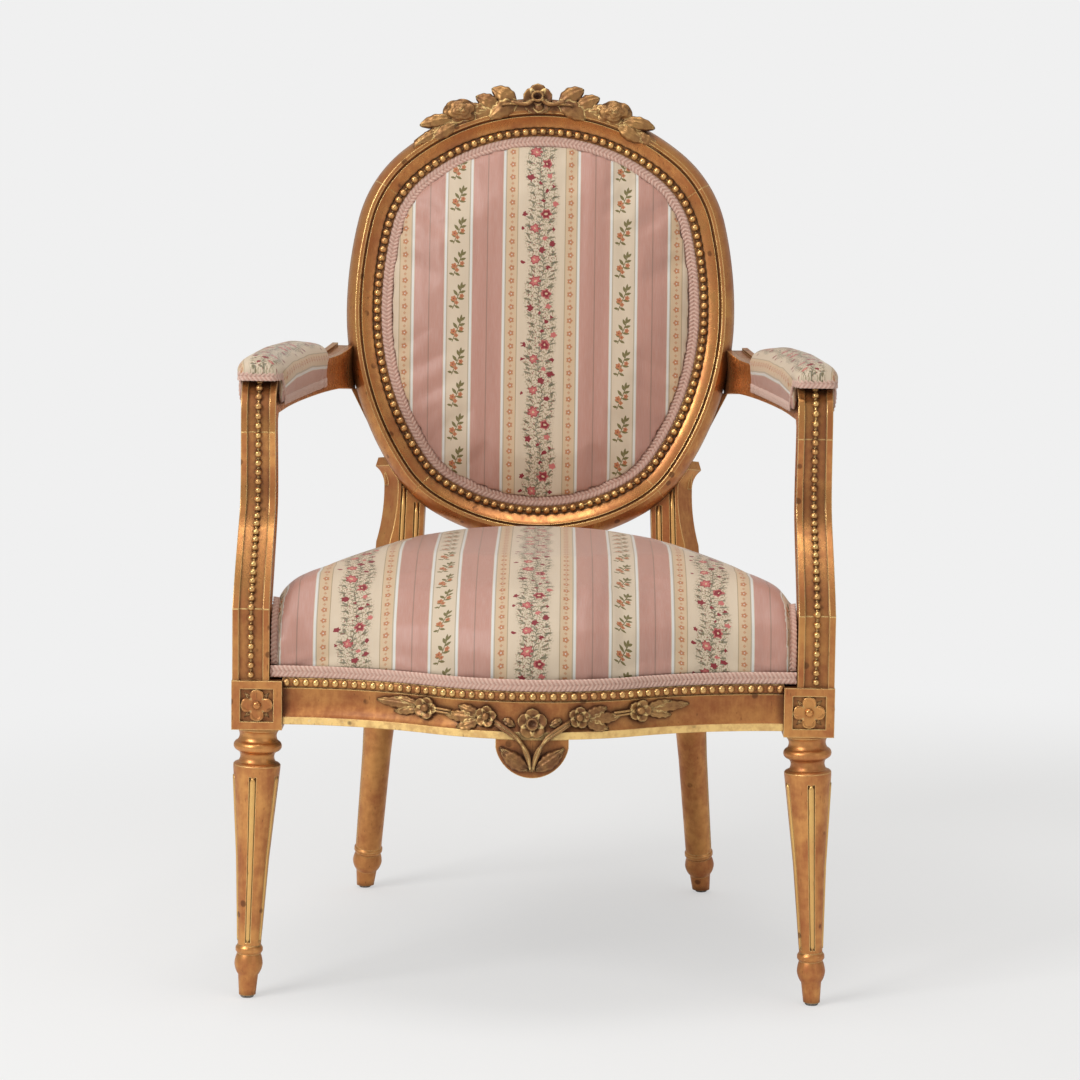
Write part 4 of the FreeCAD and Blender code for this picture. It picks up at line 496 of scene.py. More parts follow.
def stripe_group(flower, leaf):
    """Satin cloth with pink stripes, white cords, flowered borders, sprays and a garland."""
    group, g, given, out = effect(
        "Flowered stripe",
        [("Place", "vector"), ("Repeat", "value"), ("Pink", "colour"), ("Cream", "colour"),
         ("Border", "colour"), ("Cord", "colour"), ("Red", "colour"), ("Rose", "colour"),
         ("Orange", "colour"), ("Olive", "colour"), ("Fern", "colour")],
        [("Color", "colour"), ("Satin", "value"), ("Relief", "value")])
    parts = g.parts(given["Place"])
    u = g.times(g.maths("DIVIDE", parts[0], given["Repeat"]), 184.0)
    v = g.times(parts[1], 1000.0)
    x = g.maths("WRAP", u, 92.0, -92.0)
    a = g.maths("ABSOLUTE", x)

    def wrapped(value, period, offset=0.0):
        return g.maths("WRAP", g.add(value, offset), period / 2, -period / 2)

    tone = g.mix(g.between(a, 26.0, 39.0), given["Cream"], given["Border"])
    pink = g.between(a, 43.2, 76.2)
    shot = g.noise(g.scaled(given["Place"], (1400.0, 60.0, 60.0)), 1.0, 2.0)
    tone = g.mix(pink, tone, given["Pink"])
    tone = g.mix(g.times(g.ramp(shot, 0.35, 0.75), 0.10), tone, given["Cord"])
    cords = g.add(g.between(a, 40.4, 42.7), g.between(a, 76.8, 79.1))
    tone = g.mix(cords, tone, given["Cord"])
    lines = g.add(g.add(g.between(a, 59.2, 60.4), g.between(a, 39.0, 40.0)),
                  g.add(g.between(a, 26.0, 26.9), g.between(a, 79.4, 80.3)))
    tone = g.mix(g.times(lines, 0.40), tone, given["Fern"])

    def paint(tone, mask, colour, strength=1.0):
        return g.mix(g.times(mask, strength) if strength < 1 else mask, tone, colour)

    # Borders: small orange flowers and dots in turn
    side = g.take(a, 32.6)
    small = g.apply(flower, X=side, Y=wrapped(v, 14.6), Radius=3.5, Petals=5.0)
    tone = paint(tone, small["Flower"], given["Orange"], 0.85)
    tone = paint(tone, small["Heart"], given["Cord"])
    dots = g.apply(flower, X=side, Y=wrapped(v, 14.6, 7.3), Radius=1.7, Petals=4.0)
    tone = paint(tone, dots["Flower"], given["Orange"], 0.55)

    # Sprays: a leaning stem with leaves and three flowers
    q = g.maths("WRAP", g.add(x, 92.0), 92.0, -92.0)
    sv = wrapped(v, 36.5, 18.25)
    in_band = g.maths("GREATER_THAN", a, 80.9)
    stem = g.maths("ABSOLUTE", g.take(q, g.times(sv, 0.42)))
    sprays = g.times(g.times(g.maths("LESS_THAN", stem, 0.5), in_band), g.between(sv, -14.0, 11.0))
    tone = paint(tone, sprays, given["Olive"])
    for ox, oy, turn, length, width in (
            (-5.0, -12.0, 2.9, 5.5, 2.6), (-4.0, -10.0, -0.5, 7.0, 2.8), (-3.0, -7.0, 2.5, 6.5, 2.8),
            (-0.6, -2.0, -0.1, 8.0, 3.0), (0.0, 0.5, 2.2, 8.5, 3.2), (1.4, 4.0, 0.3, 7.5, 3.0),
            (2.4, 6.5, 1.9, 7.5, 3.0), (3.4, 9.0, 0.75, 7.0, 2.8), (3.2, 8.5, 1.4, 8.0, 2.6)):
        one = g.apply(leaf, X=g.take(q, ox), Y=g.take(sv, oy), Turn=turn, Length=length,
                      Width=width)
        tone = paint(tone, g.times(one["Leaf"], in_band), given["Olive"])
    for ox, oy, radius, petals in ((-4.6, -2.5, 3.6, 5.0), (4.2, 0.5, 2.8, 5.0),
                                   (-1.4, -7.0, 2.5, 4.0)):
        one = g.apply(flower, X=g.take(q, ox), Y=g.take(sv, oy), Radius=radius, Petals=petals)
        tone = paint(tone, g.times(one["Flower"], in_band), given["Orange"])
        tone = paint(tone, g.times(one["Heart"], in_band), given["Red"])

    # Garland: ferns about a winding stem, flowers and berries
    in_garland = g.maths("LESS_THAN", a, 25.5)
    sway = g.times(g.maths("SINE", g.times(v, math.tau / 73.0)), 2.4)
    uneven = g.take(g.noise(g.scaled(given["Place"], (190.0, 190.0, 1.0)), 1.0, 1.0), 0.5)
    x = g.add(x, g.times(uneven, 7.0))
    off = g.take(x, sway)
    vine = g.times(g.maths("LESS_THAN", g.maths("ABSOLUTE", off), 0.6), in_garland)
    tone = paint(tone, vine, given["Fern"], 0.8)
    for ox, oy, turn, length, width, period in (
            (0.0, 0.0, 0.75, 12.0, 2.6, 6.1), (0.0, 3.0, 2.4, 12.0, 2.6, 6.1),
            (8.0, 1.0, 0.3, 9.0, 2.2, 9.1), (-8.0, 5.0, 2.8, 9.0, 2.2, 9.1),
            (9.0, 4.0, 1.0, 9.0, 2.2, 12.2), (-9.0, 9.0, 2.1, 9.0, 2.2, 12.2)):
        one = g.apply(leaf, X=g.take(off, ox), Y=wrapped(v, period, -oy), Turn=turn,
                      Length=length, Width=width)
        tone = paint(tone, g.times(one["Leaf"], in_garland), given["Fern"], 0.75)
    sprigs = g.ramp(g.noise(g.scaled(given["Place"], (620.0, 420.0, 1.0)), 1.0, 1.0), 0.50, 0.57)
    near = g.ramp(g.maths("ABSOLUTE", off), 19.0, 13.0)
    tone = paint(tone, g.times(sprigs, near), given["Olive"], 0.6)
    buds = g.ramp(g.noise(g.scaled(given["Place"], (480.0, 480.0, 1.0)), 1.0, 0.0), 0.70, 0.72)
    tone = paint(tone, g.times(buds, near), given["Red"], 0.8)
    for ox, oy, radius, petals, colour in (
            (-6.5, 0.0, 8.0, 7.0, "Rose"), (6.0, -14.0, 7.2, 5.0, "Red"),
            (5.0, -71.0, 7.6, 6.0, "Red"), (-18.5, -71.0, 3.8, 5.0, "Red"),
            (-7.0, -87.0, 6.6, 7.0, "Rose"), (-7.0, -122.0, 6.6, 7.0, "Rose"),
            (12.0, -104.0, 4.6, 5.0, "Red"), (6.0, -45.0, 3.2, 3.0, "Red"),
            (12.0, -40.0, 2.6, 3.0, "Red"), (-20.0, -87.0, 2.6, 3.0, "Red"),
            (-20.0, -125.0, 2.6, 3.0, "Red"), (-12.0, -30.0, 4.8, 5.0, "Red"),
            (15.0, -60.0, 4.2, 5.0, "Rose"), (2.0, -56.0, 2.6, 4.0, "Red"),
            (9.0, -28.0, 4.0, 5.0, "Rose"), (-1.0, -36.0, 2.6, 4.0, "Red"),
            (4.0, -98.0, 3.2, 5.0, "Rose"), (1.0, -111.0, 5.0, 5.0, "Red"),
            (8.0, -131.0, 3.4, 5.0, "Red"), (13.0, -88.0, 3.0, 4.0, "Red")):
        one = g.apply(flower, X=g.take(x, ox), Y=wrapped(v, 146.0, -oy), Radius=radius * 0.84,
                      Petals=petals)
        tone = paint(tone, one["Flower"], given[colour])
        if radius > 5:
            rim = g.times(one["Flower"], one["Rim"])
            tone = paint(tone, rim, given["Red" if colour == "Rose" else "Rose"], 0.7)
            tone = paint(tone, one["Heart"], given["Border"])
    g.put(out["Color"], tone)
    g.put(out["Satin"], g.maths("MAXIMUM", pink, g.times(cords, 0.5)))
    weave = g.times(g.maths("SINE", g.times(u, math.tau / 0.9)),
                    g.maths("SINE", g.times(v, math.tau / 0.7)))
    raised = g.add(g.times(cords, 1.2), g.times(g.take(1.0, pink), 0.25))
    g.put(out["Relief"], g.add(raised, g.times(weave, 0.18)))
    return group


def weave_group():
    """Plain weave of warp and weft threads with uneven yarn."""
    group, g, given, out = effect(
        "Plain weave", [("Place", "vector"), ("Thread", "value")],
        [("Height", "value"), ("Slub", "value")])
    parts = g.parts(given["Place"])
    waves = [g.maths("SINE", g.times(parts[k], g.maths("DIVIDE", math.tau, given["Thread"])))
             for k in range(3)]
    g.put(out["Height"], g.times(g.times(waves[0], waves[1]), g.add(0.7, g.times(waves[2], 0.3))))
    g.put(out["Slub"], g.noise(g.scaled(given["Place"], (300.0, 900.0, 300.0)), 1.0, 3.0))
    return group


def material(name, **constants):
    """A new material with a Principled shader. Constants are set on the shader's own sockets."""
    made = bpy.data.materials.new(name)
    made.use_nodes = True
    made.node_tree.nodes.clear()
    g = Graph(made.node_tree)
    shader = g.node("ShaderNodeBsdfPrincipled")
    for label, value in constants.items():
        g.put(shader.inputs[label.replace("_", " ")], value)
    g.node("ShaderNodeOutputMaterial", {"Surface": shader.outputs[0]})
    return made, g, shader.inputs


def gilt_material(name, gold, bole, rub, chips=0.3, crevice_shade=1.0, shade_reach=0.010, highlight_band=None,
                  dull=0.0):
    """Gilding with painted highlights on its edges and painted shade in its hollows. A given band of
    heights also gets the painted highlight.
    """
    look = colours()
    made, g, shader = material(name, IOR=1.45, Coat_Weight=0.12, Coat_Roughness=0.25)
    position = g.position()
    openness = g.openness(shade_reach)
    # Painted shade: occlusion within reach gives the masks of the darkened hollows and, wider, of the
    # darkened channels
    dark = g.times(g.ramp(openness, 0.86, 0.30), crevice_shade)
    ground = g.times(g.ramp(openness, 0.98, 0.62), min(1.0, 0.2 + crevice_shade))
    rounded = g.node("ShaderNodeBevel", {"Radius": 0.0014}, samples=6)
    flat = g.node("ShaderNodeNewGeometry").outputs["Normal"]
    dot = g.node("ShaderNodeVectorMath", operation="DOT_PRODUCT")
    g.put(dot.inputs[0], rounded.outputs[0])
    g.put(dot.inputs[1], flat)
    # Mask of convex edges from the bevel normal, for the painted highlight and the chips; a given
    # band of heights joins it below
    edge = g.times(g.ramp(dot.outputs["Value"], 0.9992, 0.955),
                   g.ramp(openness, 0.45, 0.8))
    if highlight_band:
        height = g.parts(position)[2]
        edge = g.maths("MAXIMUM", edge, g.between(height, *highlight_band))
    gilt = g.apply(bpy.data.node_groups["Old gilding"], Position=position, Leaf=gold, Bole=bole,
                   Shade=look.shade_and_specks, Gesso=look.gesso, Bright=look.bright, Ground=ground, Rub=rub,
                   Crevice=dark, Edge=edge, Chips=chips)
    g.put(shader["Base Color"], gilt["Color"])
    g.put(shader["Roughness"], g.add(gilt["Roughness"], dull))
    g.put(shader["Metallic"], gilt["Metal"])
    g.put(shader["Normal"], g.bump(0.35, 0.0004, gilt["Relief"], Normal=rounded.outputs[0]))
    return made


def stripe_material(name):
    look = colours()
    made, g, shader = material(name, Sheen_Weight=0.25, Sheen_Roughness=0.4, IOR=1.45)
    place = g.node("ShaderNodeUVMap", uv_map="cloth").outputs[0]
    cloth = g.apply(bpy.data.node_groups["Flowered stripe"], Place=place,
                    Repeat=sizes().stripe_repeat, Pink=look.pink, Cream=look.cream,
                    Border=look.border, Cord=look.cord, Red=look.red, Rose=look.rose,
                    Orange=look.orange, Olive=look.olive, Fern=look.fern)
    g.put(shader["Base Color"], cloth["Color"])
    g.put(shader["Roughness"], g.take(0.60, g.times(cloth["Satin"], 0.27)))
    slack = g.noise(g.scaled(place, (26.0, 2.6, 1.0)), 1.0, 2.0)
    folds = g.bump(0.9, 0.007, slack)
    g.put(shader["Normal"], g.bump(0.5, 0.0003, cloth["Relief"], Normal=folds))
    return made


def braid_material(name):
    look = colours()
    made, g, shader = material(name, Sheen_Weight=0.3, Sheen_Roughness=0.5, IOR=1.45)
    place = g.node("ShaderNodeUVMap", uv_map="cloth").outputs[0]
    parts = g.parts(place)
    across = g.maths("ABSOLUTE", parts[1])
    phase = g.add(parts[0], g.times(across, 0.9))
    strand = g.maths("COSINE", g.times(phase, math.tau))
    thread = g.maths("SINE", g.times(g.add(phase, g.times(across, 0.8)), math.tau * 4))
    # Lighter on the crown of each strand, in step with the braid's relief: painted highlight; the
    # finer thread stripes are the weave
    tone = g.mix(g.ramp(g.add(g.times(strand, 0.6), g.times(thread, 0.5)), -0.9, 0.9), look.braid,
                 look.braid_pale_and_lit)
    # Painted shade: the braid darkens where occlusion within 4 mm hides it
    tone = g.mix(g.ramp(g.openness(0.004), 0.75, 0.25, 0.0, 0.6), tone, srgb(160, 104, 88))
    g.put(shader["Base Color"], tone)
    g.put(shader["Roughness"], g.add(0.5, g.times(strand, 0.06)))
    g.put(shader["Normal"], g.bump(0.6, 0.0003, thread))
    return made


def cloth_material(name, colour, dark, thread, rough=0.8):
    made, g, shader = material(name, Sheen_Weight=0.2, Sheen_Roughness=0.6, IOR=1.45)
    position = g.position()
    weave = g.apply(bpy.data.node_groups["Plain weave"], Place=position, Thread=thread)
    patches = g.noise(position, 22.0, 3.0)
    tone = g.mix(g.ramp(weave["Slub"], 0.3, 0.7, 0.0, 0.5), colour, dark)
    tone = g.mix(g.ramp(patches, 0.4, 0.7, 0.0, 0.25), tone, dark)
    g.put(shader["Base Color"], tone)
    g.put(shader["Roughness"], g.take(rough, g.times(weave["Slub"], 0.15)))
    g.put(shader["Normal"], g.bump(0.5, 0.0004, weave["Height"]))
    return made


def beech_material(name):
    made, g, shader = material(name, IOR=1.45)
    position = g.position()
    grain = g.noise(g.scaled(position, (20.0, 140.0, 140.0)), 1.0, 5.0, 0.6)
    flecks = g.noise(g.scaled(position, (160.0, 600.0, 600.0)), 1.0, 2.0)
    tone = g.mix(g.ramp(grain, 0.35, 0.65), colours().beech, srgb(150, 106, 70))
    tone = g.mix(g.ramp(flecks, 0.6, 0.75, 0.0, 0.5), tone, srgb(112, 74, 48))
    g.put(shader["Base Color"], tone)
    g.put(shader["Roughness"], g.add(0.55, g.times(grain, 0.2)))
    g.put(shader["Normal"], g.bump(0.3, 0.0003, grain))
    return made


def steel_material(name):
    made, g, shader = material(name, Metallic=1.0)
    position = g.position()
    marks = g.noise(position, 400.0, 4.0, 0.7)
    g.put(shader["Base Color"], g.mix(g.ramp(marks, 0.4, 0.7), srgb(150, 146, 140),
                                      srgb(92, 84, 76)))
    g.put(shader["Roughness"], g.add(0.3, g.times(marks, 0.25)))
    return made


def prepare_finishes():
    """Builds the shared effects and every material once."""
    if "Old gilding" in bpy.data.node_groups:
        return
    look = colours()
    gilding_group()
    stripe_group(flower_group(), leaf_group())
    weave_group()
    gilt_material("gilt frame", look.leaf, look.bole, 0.9, crevice_shade=0.65, dull=-0.07)
    # Darker gold and bole than the leaf on the rails: painted shade
    gilt_material("gilt rails", srgb(204, 146, 86), srgb(158, 94, 54), 1.0, highlight_band=(0.2925, 0.3004),
                  dull=0.24)
    gilt_material("gilt legs", look.leaf, look.bole, 1.0, chips=0.15, crevice_shade=0.4, dull=0.05)
    # Darker gold and bole on the carving: painted shade for its depth
    gilt_material("gilt carving", srgb(190, 145, 90), srgb(124, 78, 48), 1.0, shade_reach=0.012,
                  dull=0.10)
    # Lighter gold than the leaf on the beads and rods: painted highlight
    gilt_material("gilt beads", srgb(238, 198, 128), look.bole, 0.6, chips=0.0,
                  shade_reach=0.005, dull=-0.08)
    gilt_material("gilt rods", srgb(236, 192, 118), look.leaf, 0.6, chips=0.0, shade_reach=0.003)
    stripe_material("striped silk")
    braid_material("pink braid")
    cloth_material("backing cotton", look.backing, srgb(190, 162, 146), 0.0012)
    cloth_material("jute webbing", srgb(178, 150, 108), srgb(128, 100, 64), 0.0032, 0.9)
    cloth_material("hessian", srgb(172, 146, 104), srgb(122, 96, 62), 0.0024, 0.92)
    cloth_material("dust cotton", srgb(92, 86, 80), srgb(64, 60, 56), 0.0010, 0.9)
    beech_material("beech")
    steel_material("worn steel")


# Meshes

def wear(obj, name):
    """Gives a piece its one material and, for a new piece, its slot."""
    obj.data.materials.clear()
    obj.data.materials.append(bpy.data.materials[name])
    return obj


def mesh_points(mesh):
    flat = np.empty(len(mesh.vertices) * 3, np.float32)
    mesh.vertices.foreach_get("co", flat)
    return flat.reshape(-1, 3)


def move_points(mesh, points):
    mesh.vertices.foreach_set("co", points.astype(np.float32).ravel())


def shade_smooth(mesh):
    mesh.polygons.foreach_set("use_smooth", [True] * len(mesh.polygons))


def store_cloth(mesh, uv):
    """Stores the cloth's own coordinates, one for each point."""
    layer = mesh.uv_layers.get("cloth") or mesh.uv_layers.new(name="cloth")
    loops = np.empty(len(mesh.loops), np.int32)
    mesh.loops.foreach_get("vertex_index", loops)
    layer.data.foreach_set("uv", np.asarray(uv, np.float32)[loops].ravel())


def piece(name, points, faces, finish, slot, uv=None):
    """A new piece from points in chair millimetres, riding on the chair."""
    mesh = bpy.data.meshes.new(name)
    mesh.from_pydata([tuple(p) for p in row(points)], [], faces)
    mesh.update()
    if uv is not None:
        store_cloth(mesh, uv)
    obj = bpy.data.objects.new(name, mesh)
    bpy.context.scene.collection.objects.link(obj)
    shade_smooth(mesh)
    wear(obj, finish)
    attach(obj, "root")
    return obj


def gathered(parts):
    """Joins lists of (points, faces) into one."""
    points, faces, start = [], [], 0
    for p, f in parts:
        points.append(np.asarray(p, float))
        faces += [tuple(i + start for i in face) for face in f]
        start += len(p)
    return np.vstack(points), faces


def grid_faces(rows, columns, closed=False, flip=False):
    """Faces of a grid of points given row by row. A closed one joins its last row to its first."""
    faces = []
    for i in range(rows - 1 if not closed else rows):
        j = (i + 1) % rows
        for k in range(columns - 1):
            face = (i * columns + k, i * columns + k + 1, j * columns + k + 1, j * columns + k)
            faces.append(face[::-1] if flip else face)
    return faces


def bead(centre, normal, along, radius):
    """One turned bead."""
    n = np.asarray(normal, float)
    t = np.asarray(along, float)
    t = t - n * (t @ n)
    t /= np.linalg.norm(t)
    b = np.cross(n, t)
    rings, sides = 7, 12
    points = []
    for i in range(1, rings):
        lat = math.pi * i / rings
        for k in range(sides):
            lon = math.tau * k / sides
            points.append(centre + radius * (math.cos(lat) * BEAD_SQUASH * n + math.sin(lat)
                                             * (math.cos(lon) * t + math.sin(lon) * b)))
    top, low = len(points), len(points) + 1
    points += [centre + n * radius * BEAD_SQUASH, centre - n * radius * BEAD_SQUASH]
    faces = [(top, k, (k + 1) % sides) for k in range(sides)]
    for i in range(rings - 2):
        for k in range(sides):
            k2 = (k + 1) % sides
            faces.append((i * sides + k, (i + 1) * sides + k, (i + 1) * sides + k2, i * sides + k2))
    last = (rings - 2) * sides
    faces += [(low, last + (k + 1) % sides, last + k) for k in range(sides)]
    return points, faces


def tube(points, radii, sides):
    """Round bar along a path, with closed ends."""
    p = np.asarray(points, float)
    along = np.gradient(p, axis=0)
    along /= np.linalg.norm(along, axis=1)[:, None]
    hint = np.array([0.31, 0.52, 0.79])
    made = []
    for centre, t, r in zip(p, along, np.broadcast_to(radii, len(p))):
        a = np.cross(t, hint)
        a /= np.linalg.norm(a)
        b = np.cross(t, a)
        for k in range(sides):
            turn = math.tau * k / sides
            made.append(centre + r * (math.cos(turn) * a + math.sin(turn) * b))
    faces = []
    for i in range(len(p) - 1):
        for k in range(sides):
            k2 = (k + 1) % sides
            faces.append((i * sides + k, i * sides + k2, (i + 1) * sides + k2, (i + 1) * sides + k))
    faces.append(tuple(range(sides))[::-1])
    faces.append(tuple((len(p) - 1) * sides + k for k in range(sides)))
    return made, faces


def bead_row(name, points, normals, diameter, spacing, seed, closed=False):
    """A row of beads sunk into their bed, on the string that joins them."""
    rng = random.Random(seed)
    centres, out = spaced(points, normals, spacing, closed)
    along = np.gradient(centres, axis=0)
    if closed:
        along = np.roll(centres, -1, axis=0) - np.roll(centres, 1, axis=0)
    parts = []
    for c, n, t in zip(centres, out, along):
        size = diameter / 2 * rng.uniform(0.95, 1.03)
        jog = t / np.linalg.norm(t) * rng.uniform(-0.35, 0.35)
        parts.append(bead(c + n * (size * 0.62) + jog, n, t, size))
    string, string_out = spaced(points, normals, spacing / 2, closed)
    if closed:
        string = np.vstack([string, string[:1]])
        string_out = np.vstack([string_out, string_out[:1]])
    parts.append(tube(string + string_out * 0.5, 1.6, 8))
    return piece(name, *gathered(parts), "gilt beads", "gilt_wood")


def carved_leaf(x, y, angle, length, width, rise, bend, ribs, deep=6.0, notch=0.05, blunt=0.62,
                vein=1.0):
    """Carved leaf on a flat ground: (across, up, out) points. It grows along angle, in degrees."""
    rows, columns = 21, 11
    points = []
    for i in range(rows):
        u = i / (rows - 1)
        half = width / 2 * (math.sin(math.pi * u ** 0.86) ** blunt if 0 < u < 1 else 0.03)
        half *= 1 + notch * math.cos(ribs * math.tau * u)
        turn = math.radians(angle + bend * (u - 0.3))
        cx = x + length * u * math.cos(math.radians(angle + bend * (u / 2 - 0.3)))
        cy = y + length * u * math.sin(math.radians(angle + bend * (u / 2 - 0.3)))
        for k in range(columns):
            v = 2 * k / (columns - 1) - 1
            w = half * v
            h = rise * (0.35 + 0.65 * math.sin(math.pi * min(1, u * 0.9 + 0.08))) * (1 - 0.42 * v * v)
            groove = 0.9 * math.exp(-((abs(v) - 0.3) / 0.14) ** 2)
            groove += 0.55 * (0.5 + 0.5 * math.cos(ribs * math.tau * u + 3 * abs(v)))
            h += vein * (0.7 * math.exp(-(v / 0.16) ** 2) - groove)
            if abs(v) == 1:
                h -= rise * 0.35
            points.append((cx - w * math.sin(turn), cy + w * math.cos(turn), h))
    faces = grid_faces(rows, columns, flip=True)
    return skirted(points, faces, rows, columns, deep)


def skirted(points, faces, rows, columns, deep):
    """Adds sides and a flat back to a carved surface, so that it stands out of its ground."""
    rim = list(range(columns)) + [i * columns + columns - 1 for i in range(1, rows)]
    rim += [(rows - 1) * columns + k for k in range(columns - 2, -1, -1)]
    rim += [i * columns for i in range(rows - 2, 0, -1)]
    start = len(points)
    low = [(points[i][0], points[i][1], points[i][2] - deep) for i in rim]
    count = len(rim)
    for k in range(count):
        k2 = (k + 1) % count
        faces.append((rim[k], rim[k2], start + k2, start + k))
    faces.append(tuple(range(start, start + count)))
    return points + low, faces


def carved_leaves(x, side, table):
    """Leaves of a table on one side of x: (across, up, angle, length, width, rise, bend, ...)."""
    return [carved_leaf(x + side * across, y, angle if side == 1 else 180 - angle, length, width,
                        rise, side * bend, *rest)
            for across, y, angle, length, width, rise, bend, *rest in table]


def carved_petal(x, y, angle, length, width, rise, deep=6.0, cup=0.9):
    """Round-ended petal, hollowed along its middle."""
    rows, columns = 9, 7
    points = []
    turn = math.radians(angle)
    for i in range(rows):
        u = i / (rows - 1)
        half = width / 2 * math.sqrt(max(0.0, 1 - ((u - 0.62) / 0.62) ** 2) if u < 0.62
                                     else max(0.0, 1 - ((u - 0.62) / 0.38) ** 2))
        half = max(half, 0.25)
        for k in range(columns):
            v = 2 * k / (columns - 1) - 1
            h = rise * (0.3 + 0.7 * math.sin(math.pi * 0.5 * min(1, u * 1.25)))
            h -= cup * rise * 0.5 * (1 - v * v) * (1 - abs(2 * u - 1) ** 3)
            h -= 0.22 * (0.5 + 0.5 * math.cos(v * 9.5)) * (1 - u * 0.4)
            if abs(v) == 1 or i == rows - 1:
                h -= rise * 0.3
            a, w = length * u, half * v
            points.append((x + a * math.cos(turn) - w * math.sin(turn),
                           y + a * math.sin(turn) + w * math.cos(turn), h))
    return skirted(points, grid_faces(rows, columns, flip=True), rows, columns, deep)


def carved_flower(x, y, radius, petals, rise, start=90.0, ring=True, width=0.92):
    """Open flower of round petals about a bored heart."""
    parts = []
    for k in range(petals):
        angle = start + 360 / petals * k
        parts.append(carved_petal(x, y, angle, radius, radius * width * 5 / petals, rise))
    heart = [(0.0, rise * 0.4), (radius * 0.20, rise * 0.4 + (1.6 if ring else 2.6)),
             (radius * 0.30, rise + 1.9), (radius * 0.40, rise + 1.0), (radius * 0.42, -4.0)]
    if not ring:
        heart = [(0.0, rise + 2.2), (radius * 0.2, rise + 1.9), (radius * 0.33, rise + 0.8),
                 (radius * 0.36, -4.0)]
    parts.append(lathe(x, y, heart))
    return gathered(parts)


def lathe(x, y, outline):
    """Turned form on a flat ground, from its outline of (radius, out) points."""
    sides = 16
    points = [(x, y, outline[0][1])]
    for r, h in outline[1:]:
        for k in range(sides):
            turn = math.tau * k / sides
            points.append((x + r * math.cos(turn), y + r * math.sin(turn), h))
    faces = [(0, 1 + k, 1 + (k + 1) % sides) for k in range(sides)]
    for i in range(len(outline) - 2):
        for k in range(sides):
            a, b = 1 + i * sides + k, 1 + i * sides + (k + 1) % sides
            faces.append((a, a + sides, b + sides, b))
    return points, faces


def carved_rose(x, y, radius, squash, seed):
    """Full rose: rounded petals lapping inwards over each other up to the bud."""
    rng = random.Random(seed)
    petals = [(0.0, 0.12, 0.20, 9.6, 12.2)]
    for count, reach, size, low, high in ((3, 0.20, 0.34, 6.4, 11.2), (4, 0.42, 0.44, 3.4, 9.0),
                                          (6, 0.70, 0.40, -1.0, 6.0)):
        start = rng.uniform(0, math.tau)
        for k in range(count):
            turn = start + math.tau * k / count + rng.uniform(-0.15, 0.15)
            petals.append((reach * math.cos(turn), reach * math.sin(turn) + 0.10, size,
                           low, high))
    rings, sides = 22, 56
    points = []
    for i in range(rings + 1):
        r = max(0.002, i / rings) * 1.08
        for k in range(sides):
            px, py = r * math.cos(math.tau * k / sides), r * math.sin(math.tau * k / sides)
            height = 1.0 - 8.0 * max(0.0, r - 0.82) ** 0.5
            for cx, cy, size, low, high in petals:
                d = math.hypot(px - cx, py - cy) / size
                if d < 1:
                    shell = low + (high - low) * math.sqrt(1 - d * d)
                    height = max(height, shell - 1.5 * math.exp(-((d - 0.55) / 0.22) ** 2))
            points.append((x + radius * px, y + radius * squash * py, height))
    low = [(x + radius * 1.06 * math.cos(math.tau * k / sides),
            y + radius * squash * 1.06 * math.sin(math.tau * k / sides), -8.0) for k in range(sides)]
    points += low
    faces = []
    for i in range(rings + 1):
        for k in range(sides):
            a, b = i * sides + k, i * sides + (k + 1) % sides
            faces.append((a, a + sides, b + sides, b))
    faces.append(tuple(range(sides)))
    return points, faces


def stalk(points, radius, lift):
    """Thin round stalk through flat points, standing off its ground."""
    p = np.asarray(points, float)
    run = np.linspace(0, len(p) - 1, 4 * (len(p) - 1) + 1)
    curve = eased([(k, *q) for k, q in enumerate(p)], run)[:, 1:]
    flat = np.column_stack([curve, np.full(len(curve), lift)]) if p.shape[1] == 2 else curve
    return tube(flat, radius, 7)


